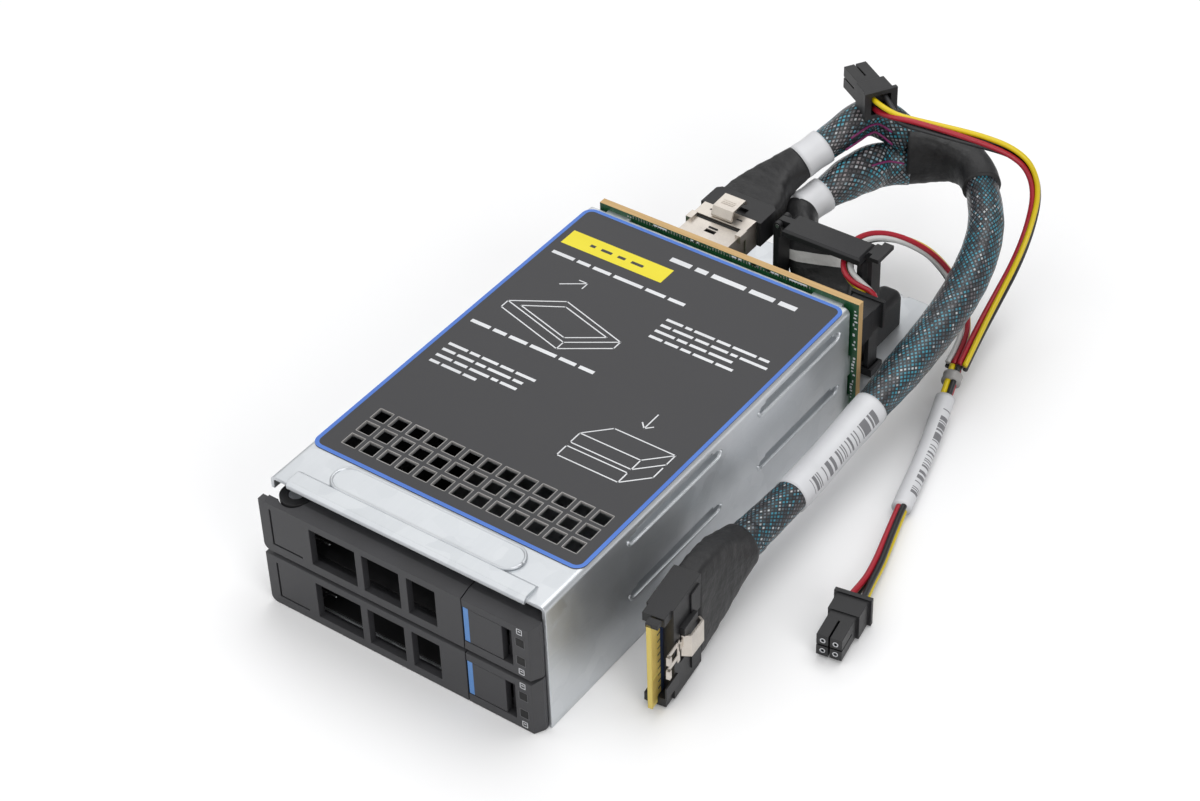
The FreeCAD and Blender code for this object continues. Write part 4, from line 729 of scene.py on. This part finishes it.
def strokes(ends, width, z=INK_Z):
    """Straight strokes on a level sheet, each from one point to another and capped by half its width."""
    ends = np.array(ends, float)
    run = ends[:, 1] - ends[:, 0]
    reach = np.linalg.norm(run, axis=1)
    along = np.c_[run / reach[:, None], np.zeros(len(run))]
    up = np.broadcast_to((0.0, 0.0, 1.0), along.shape)
    middle = np.c_[(ends[:, 0] + ends[:, 1]) / 2, np.full(len(run), z)]
    halves = spread(reach / 2 + width / 2, width / 2, INK)
    return blocks(middle, halves, np.stack([along, np.cross(up, along), up], 1))


def dashes(x, y, lengths, height, gap, z=INK_Z):
    """A row of plain bars in place of a line of words; sizes in millimetres."""
    starts = x + height / 2 + np.r_[0, np.cumsum(np.array(lengths) + gap)[:-1]]
    level = np.full(len(starts), y)
    ends = np.stack([np.c_[starts, level], np.c_[starts + lengths - height, level]], 1)
    return strokes(ends / 1000, height / 1000, z)


def drawn(*paths):
    """A line drawing: fine strokes from corner to corner of each path, in millimetres."""
    ends = [np.stack([path[:-1], path[1:]], 1) for path in map(np.array, paths)]
    return strokes(np.concatenate(ends) / 1000, .00035)


def rim_band(low_x, low_y, high_x, high_y, corner, width, z):
    """A band that follows a rectangle with round corners, drawn between an outer and an inner outline."""
    turn = np.linspace(0, np.pi / 2, 9)
    quarter = np.stack([np.cos(turn), np.sin(turn)], -1)
    spin = np.array([[0.0, 1.0], [-1.0, 0.0]])
    centres = [(high_x - corner, high_y - corner), (low_x + corner, high_y - corner),
               (low_x + corner, low_y + corner), (high_x - corner, low_y + corner)]
    rings = [np.array(c) + radius * quarter @ np.linalg.matrix_power(spin, k)
             for radius in (corner, corner - width) for k, c in enumerate(centres)]
    points = np.concatenate([np.c_[ring, np.full(len(ring), z)] for ring in rings])
    count = len(points) // 2
    k = np.arange(count)
    after = (k + 1) % count
    return points, np.stack([k, after, after + count, k + count], -1)


def label_print():
    """A blue border, a bare yellow panel, plain bars for words and two plain line drawings."""
    rows = [dashes(-9, 57.6, (6.4, 3.6, 10.2, 7.4, 5.2), 1.7, 1.5),
            dashes(-37, 43.4, (7, 4, 5.5, 9, 6, 5), 1.2, 1.1),
            dashes(-37, 8.4, (6, 4, 5.5, 8, 5, 4.5), 1.2, 1.1)]
    for x, y, lines in ((4.5, 36.0, ((5, 2, 6, 4, 7, 3), (3, 6, 4, 5, 2, 8), (6, 3, 5, 7), (4, 4, 3, 6, 5))),
                        (-36, -2.2, ((6, 3, 5, 4, 6), (4, 5, 3, 7, 3), (5, 4, 6, 2, 5), (3, 6, 4)))):
        rows += [dashes(x, y - 2.6 * k, lengths, 0.95, 0.8) for k, lengths in enumerate(lines)]
    tray = drawn([(-34, 20), (-12, 14), (0, 22), (-21, 28), (-34, 20), (-34, 17), (-12, 11), (-12, 14)],
                 [(-12, 11), (0, 19), (0, 22)],
                 [(-30, 20.2), (-13, 15.6), (-4, 21.6), (-20, 26), (-30, 20.2)],
                 [(-27, 33), (-21, 37), (-21, 34.6)], [(-21, 37), (-23.6, 37)])
    stack = drawn([(12, -12), (30, -12), (36, -6), (18, -6), (12, -12), (12, -16), (30, -16), (30, -12)],
                  [(30, -16), (36, -10), (36, -6)],
                  [(12, -17.5), (12, -21.5), (30, -21.5), (30, -17.5), (12, -17.5)],
                  [(30, -21.5), (36, -15.5), (36, -11.5)],
                  [(24, 4), (24, -2), (22.4, -.4)], [(24, -2), (25.6, -.4)])
    bars = dashes(-30.0, 50.8, (1.6, 3.4, 2.4, 3.8), 1.0, 1.9, INK_Z + .00002)
    gather("label_print", "cage", "label_film", [
        (*rim_band(-.0405, -.0513, .0405, .0646, .0030, .0011, INK_Z), "rim"),
        (*blocks((-.0215, .0508, INK_Z), (.0160, .0031, INK)), "notice"),
        *[(*row, "ink") for row in rows], (*bars, "film"), (*tray, "ink"), (*stack, "ink")])


BOARD_FRONT, BOARD_BACK = 0.06648, 0.06910


def board_print():
    """Plain legend bars and rows of bare pads on the board's front, and chips on its back."""
    draw = np.random.default_rng(5)
    xs = np.arange(-.0290, .0285, .00088)
    pads = blocks(spread(xs, BOARD_FRONT, .03955), (.00020, .00002, .00020))
    more = blocks(spread(xs[draw.random(len(xs)) < 0.7], BOARD_FRONT, .04005), (.00016, .00002, .00016))
    legend = blocks(spread(draw.uniform(-.0285, .0265, 16), BOARD_FRONT, .0400),
                    spread(draw.uniform(.0004, .0014, 16), .00003, .00022))
    zs = np.arange(.0050, .0385, .0011)
    zs = zs[draw.random(len(zs)) < 0.75]
    side = blocks(spread(draw.uniform(.0414, .0424, len(zs)), BOARD_FRONT, zs),
                  spread(draw.uniform(.00015, .00045, len(zs)), .00003,
                         draw.uniform(.00015, .00045, len(zs))))
    gather("board_marks", "cage", "board_laminate",
           [(*pads, "tin"), (*more, "tin"), (*legend, "ink"), (*side, "ink")])
    x, z, wide, tall = np.array([
        (-.0250, .0320, .0030, .0030), (-.0260, .0140, .0040, .0040), (-.0120, .0100, .0022, .0014),
        (.0060, .0110, .0026, .0026), (.0300, .0120, .0018, .0030), (-.0300, .0240, .0012, .0008),
        (-.0210, .0260, .0008, .0012), (.0010, .0240, .0010, .0016), (.0300, .0200, .0010, .0006)]).T
    chips = blocks(spread(x, BOARD_BACK, z), spread(wide, .0006, tall))
    legs = blocks(spread(x, BOARD_BACK - .00035, z), spread(wide * 1.18, .00012, tall * .8))
    tape = blocks((.0035, BOARD_BACK - .00042, .0385), (.0020, .00006, .0014))
    gather("board_chips", "cage", "board_laminate", [(*chips, "chip"), (*legs, "tin"), (*tape, "amber")])


LAMP_X, FACE_Y = 0.0362, -0.06942
MARK = 0.00003                   # half the thickness of a mark on the bezel


def outlined(z, wide, tall, line):
    """Two level and two upright bars round a rectangle on the front face; wide and tall are half sizes."""
    return blocks([(LAMP_X, FACE_Y, z + tall), (LAMP_X, FACE_Y, z - tall), (LAMP_X + wide, FACE_Y, z),
                   (LAMP_X - wide, FACE_Y, z)], [(wide, MARK, line)] * 2 + [(line, MARK, tall)] * 2)


def tray_low(level):
    """Height of the underside of a tray's bezel."""
    return BEZEL_LIFT + level * TRAY_PITCH


def front_marks(level, name):
    """A near-black square of painted shade in each lamp's window with a pale outline of painted highlight
    round it, and a plain outlined mark above and below them.
    """
    low = tray_low(level)
    groups = []
    # Painted shade and highlight: a near-black square for the shade in each recessed lamp window, and a pale
    # outline for the light on its rim
    for z in (low + .0052, low + .0111):
        groups += [(*blocks((LAMP_X, FACE_Y, z), (.00105, .00005, .00115)), "dark gap"),
                   (*outlined(z, .00125, .00135, .00008), "outline")]
    for z in (low + .0017, low + .0146):
        groups += [(*outlined(z, .0007, .0008, .00010), "ink"),
                   (*blocks((LAMP_X, FACE_Y, z + .0001), (.00035, MARK, .00012)), "ink")]
    gather("front_marks_" + name, "tray_" + name, "front_plastic", groups)


def turned(points, at, degrees):
    """Points of a piece drawn at the origin, turned about the upright axis and moved to its place."""
    turn = math.radians(degrees)
    c, s = math.cos(turn), math.sin(turn)
    x, y, z = points.T
    return np.stack([at[0] + x * c - y * s, at[1] + x * s + y * c, at[2] + z], -1)


HOST = ((.0573, -.0485, .0152), 7.5)          # place and turn of each loose plug
LEAD = ((.0830, -.0105, .0044), 9.4)
SPARE = ((-.0009, .1349, .0570), -122.0)


def host_blocks(centres, halves, material):
    """Boxes on the host plug, drawn at the origin with the card's nose towards -y."""
    points, faces = blocks(centres, halves)
    return turned(points, *HOST), faces, material


def card_contacts():
    """Gold fingers and a dark mask on the host card's faces, the latch's prongs and the shell's steps."""
    face = .00061
    z = np.arange(-.0123, .0124, .0008)
    z = z[np.abs(z + .0042) > .0007]
    groups = []
    for side in (-face, face):
        groups += [host_blocks(spread(side, .0023, z), (MARK, .0020, .00024), "gold"),
                   host_blocks((side, .0054, 0), (MARK, .0009, .0137), "mask")]
    z = np.arange(-.0118, .0122, .0022)
    groups.append(host_blocks(spread(face + MARK, .0038, z), (MARK, .0007, .00016), "mask"))
    gather("card_contacts", "cage", "card_laminate", groups)
    prongs = host_blocks([(.00386, .0046, .0031), (.00386, .0042, -.0010), (.00386, .0074, .0004),
                          (.00386, .0086, .0014), (.00430, .0018, .0024), (.00430, .0016, -.0018)],
                         [(.00014, .0026, .0007), (.00014, .0028, .0007), (.00014, .0006, .0034),
                          (.00014, .0012, .0012), (.00050, .0005, .0013), (.00050, .0005, .0013)], "tin")
    gather("host_latch_prongs", "host_latch", "spring_steel", [prongs])
    steps = host_blocks([(.00420, .0122, .0056), (.00375, .0165, .0098), (.00375, .0165, -.0085),
                         (.00375, .0040, -.0085), (.00080, .0011, .0137)],
                        [(.00070, .0034, .0012), (.00020, .0022, .0028), (.00020, .0022, .0030),
                         (.00020, .0030, .0020), (.00160, .0011, .0006)], "nylon")
    gather("host_plug_steps", "cage", "connector_black", [steps])


def terminal_rings(name, plug):
    """Four crimp terminals: a turned profile at the mouth of each of the plug's holes."""
    angle = np.linspace(0, 2 * np.pi, 20, endpoint=False)
    profile = np.array([(.00046, .0012), (.00046, -.00006), (.00074, -.00006), (.00074, .0012)])
    radius, depth = profile.T[..., None]
    ring = spread(radius * np.cos(angle), depth, radius * np.sin(angle))
    x, z = np.array([(-1, -1), (-1, 1), (1, -1), (1, 1)]).T * PLUG_GRID
    points = (spread(x, 0.0, z)[:, None, None] + ring).reshape(-1, 3)
    first = radius.size * angle.size * np.arange(4)[:, None, None]
    faces = (grid_quads(*ring.shape[:2]) + first).reshape(-1, 4)
    gather(name, "cage", "spring_steel", [(turned(points, *plug), faces, "steel")])


def plug_marks():
    """Near-black strips of painted shade where the metal cover's slit openings and the step behind it lie,
    and faint lines on the push pad of each data plug.
    """
    for side, (x, z) in DATA_PLUGS.items():
        top = z + .00412
        # Painted shade: flat near-black strips on the cover for the shade in its slit openings and under the
        # step behind it
        slit_shade = blocks([(x - .0042, .0800, top), (x + .0042, .0800, top), (x, .0763, top - .0006),
                        (x, .0738, top - .0006)],
                       [(.0009, .00025, .00004), (.0009, .00025, .00004), (.0078, .00022, .0002),
                        (.0014, .00022, .0002)])
        foot = blocks([(x + reach, .0752, top - .0009) for reach in (-.0078, .0078)], (.0009, .0016, .0012))
        gather("cover_marks_" + side, "cage", "connector_shell", [(*slit_shade, "dark gap"), (*foot, "tin")])
        lines = blocks([(x, .0805 + .0007 * k, top + .00322) for k in range(3)], (.0019, .00009, .00006))
        gather("latch_lines_" + side, "latch_" + side, "spring_steel", [(*lines, "tin")])


def coil_piece(name, points, radius, first_side, body, node):
    """Round wire swept along a coiled line."""
    line = spaced(points, radius * 0.9)
    tube_piece(name, line, radius, first_side, body, "spring_steel", "steel", node=node)


def springs(level, name):
    """A torsion coil with two legs round the lever's pin, and a straight coil behind the button."""
    low = tray_low(level)
    turn = np.linspace(-np.pi / 2, 9 * np.pi, 260)
    coil = spread(LEVER_PIVOT[0] + .00232 * np.cos(turn), LEVER_PIVOT[1] + .00232 * np.sin(turn),
                  low + .0028 + .0022 * (turn - turn[0]) / (turn[-1] - turn[0]))
    wall = (-.0369, -.0602, low + .0028)
    arm = (LEVER_PIVOT[0] + .0090, coil[-1, 1] + .0001, low + .0050)
    coil_piece("torsion_coil_" + name, np.concatenate([[wall], coil, [arm]]), .00026, (0, 0, 1),
               "tray_" + name, "lever_spring_" + name)
    turn = np.linspace(0, 14 * np.pi, 320)
    start, stop = .0282, .0340
    coil = spread(start + (stop - start) * turn / turn[-1], -.0636 + .00112 * np.cos(turn),
                  low + .0082 + .00112 * np.sin(turn))
    coil_piece("button_coil_" + name, coil, .00016, (1, 0, 0), "tray_" + name, "button_spring_" + name)


def thread_piece(name, line, reach, start, turns, low, high):
    """A coloured thread wound round a branch, just proud of the braid, between two shares of its length."""
    sides, ups = carried_frames(line, (0, 0, 1))
    share = length_along(line) / length_along(line)[-1]
    angle = start + turns * 2 * np.pi * share
    path = line + reach * (sides * np.cos(angle)[:, None] + ups * np.sin(angle)[:, None])
    part = path[(share >= low) & (share <= high)]
    tube_piece(name, part, .00030, (0, 0, 1), "cage", "braid", "magenta", 8)


RIB_MIDDLE, RIB_HALF = 0.0169, 0.0017
BEAD = 0.00042                   # radius of a rounded pressed edge


def pressed_rims():
    """Rounded lower rims of the guide ribs, and the rounded border of the pressed panel on the roof."""
    turn = np.linspace(np.pi * 0.94, np.pi * 2.06, 40)
    for level in range(2):
        for low_y, high_y in ((-.0332, .0059), (.0227, .0605)):
            reach = (high_y - low_y) / 2 - RIB_HALF
            y = (low_y + high_y) / 2 + RIB_HALF * np.cos(turn) + reach * np.sign(np.cos(turn))
            z = RIB_MIDDLE + level * TRAY_PITCH + RIB_HALF * np.sin(turn)
            for side in (-1, 1):
                tube_piece("rib_rim", spaced(spread(side * .04098, y, z), .0006), BEAD, (1, 0, 0), "cage",
                           "galvanised_steel", "zinc")
    turn = np.linspace(0, 2 * np.pi, 80)
    x = .0042 * np.cos(turn) + .0238 * np.tanh(40 * np.cos(turn))
    line = spaced(spread(x, -.0566 + .0041 * np.sin(turn), .03938), .0006)
    tube_piece("panel_rim", line, BEAD, (0, 0, 1), "cage", "galvanised_steel", "zinc")


def painted_vent_edges():
    """Cut edges of the sheet in each vent hole, drawn as pale grey strips whose paleness is painted
    highlight.
    """
    column, row = np.meshgrid(np.arange(13), np.arange(3))
    x, y = -.0321 + .00552 * column.ravel(), -.0448 + .00552 * row.ravel()
    half, thin_edge = .00212, .0001
    long_x, long_y = (half, thin_edge, .00030), (thin_edge, half, .00030)
    gather("painted_vent_edges", "cage", "galvanised_steel", [
        (*blocks(spread(x + dx, y + dy, .03892), size), "divide")
        for dx, dy, size in ((half, 0, long_y), (-half, 0, long_y), (0, half, long_x), (0, -half, long_x))])


def tray_shade_blocks(level, name):
    """Dark blocks of the tray's plastic set behind the lever's windows as painted shade, seen through the
    windows.
    """
    low = tray_low(level)
    # Painted shade: a dark floor and upright stand in for the shade inside the tray
    shade_blocks = blocks([(-.0070, -.0605, low + .00145), (-.0070, -.0562, low + .0040)],
                  [(.0260, .0046, .00018), (.0260, .0002, .0026)])
    gather("tray_shade_blocks_" + name, "tray_" + name, "frame_plastic", [(*shade_blocks, "frame")])


label_print()
board_print()
card_contacts()
plug_marks()
terminal_rings("lead_terminals", LEAD)
band_piece("wire_divide_ring", lead_line, -.0052, -.0026, .0026, .0025, (1, 0, 0), "divide",
           "wire_insulation", None)
terminal_rings("spare_terminals", SPARE)
for level, name in enumerate(LEVELS):
    front_marks(level, name)
    springs(level, name)
    tray_shade_blocks(level, name)
pressed_rims()
thread_piece("tracer_one", left_line, .0061, -1.75, 0.10, .08, .66)
thread_piece("tracer_two", left_line, .0061, -1.25, 0.07, .14, .60)
thread_piece("tracer_three", right_line, .0068, -.95, 0.08, .04, .42)
painted_vent_edges()


# Floor and light
def lay_floor():
    """A pale sheet that curves up far behind; the camera and mirrors see it as a white backdrop."""
    bend = np.linspace(0.1, np.pi / 2, 12)
    back = np.r_[np.linspace(-3, 2.2, 12), 2.2 + 0.8 * np.sin(bend), 3.0]
    lift = np.r_[np.zeros(12), 0.8 * (1 - np.cos(bend)), 3.5] - 0.00005
    points = spread(np.linspace(-3, 3, 13)[None], back[:, None], lift[:, None])
    mesh = mesh_of("floor", points, grid_quads(*points.shape[:2], closed=False).tolist())
    floor = stand("floor", mesh)
    material, r = new_material("pale floor")
    path = r.add("LightPath")
    seen = r.math("MAXIMUM", path.outputs["Is Camera Ray"], path.outputs["Is Glossy Ray"])
    r.surface(Base_Color=r.blend(seen, (0.36, 0.36, 0.37, 1), (0.96, 0.96, 0.965, 1)), Roughness=0.7)
    mesh.materials.append(material)


def soft_lamp(name, place, aim, size, power):
    """A round lamp that faces a point."""
    data = bpy.data.lights.new(name, "AREA")
    data.shape = "DISK"
    data.size = size
    data.energy = power
    lamp = stand(name, data)
    lamp.location = place
    lamp.rotation_mode = "QUATERNION"
    lamp.rotation_quaternion = (Vector(aim) - Vector(place)).to_track_quat("-Z", "Y")


def set_light():
    """Even pale surroundings, a broad key from the front left, a weaker fill, a top lamp and one behind."""
    world = bpy.data.worlds.new("studio")
    world.use_nodes = True
    background = world.node_tree.nodes["Background"]
    background.inputs["Color"].default_value = (1, 1, 1, 1)
    background.inputs["Strength"].default_value = 0.44
    bpy.context.scene.world = world
    centre = (0.02, 0.02, 0.02)
    soft_lamp("key", (-0.55, -0.95, 1.05), centre, 2.3, 11.0)
    soft_lamp("top", (0.15, 0.45, 1.3), centre, 1.0, 7.0)
    soft_lamp("fill", (1.2, -0.5, 0.7), centre, 0.9, 6.5)
    soft_lamp("back", (-0.95, 1.25, 1.15), centre, 1.5, 5.0)


lay_floor()
set_light()
bpy.context.scene.view_settings.view_transform = "Standard"
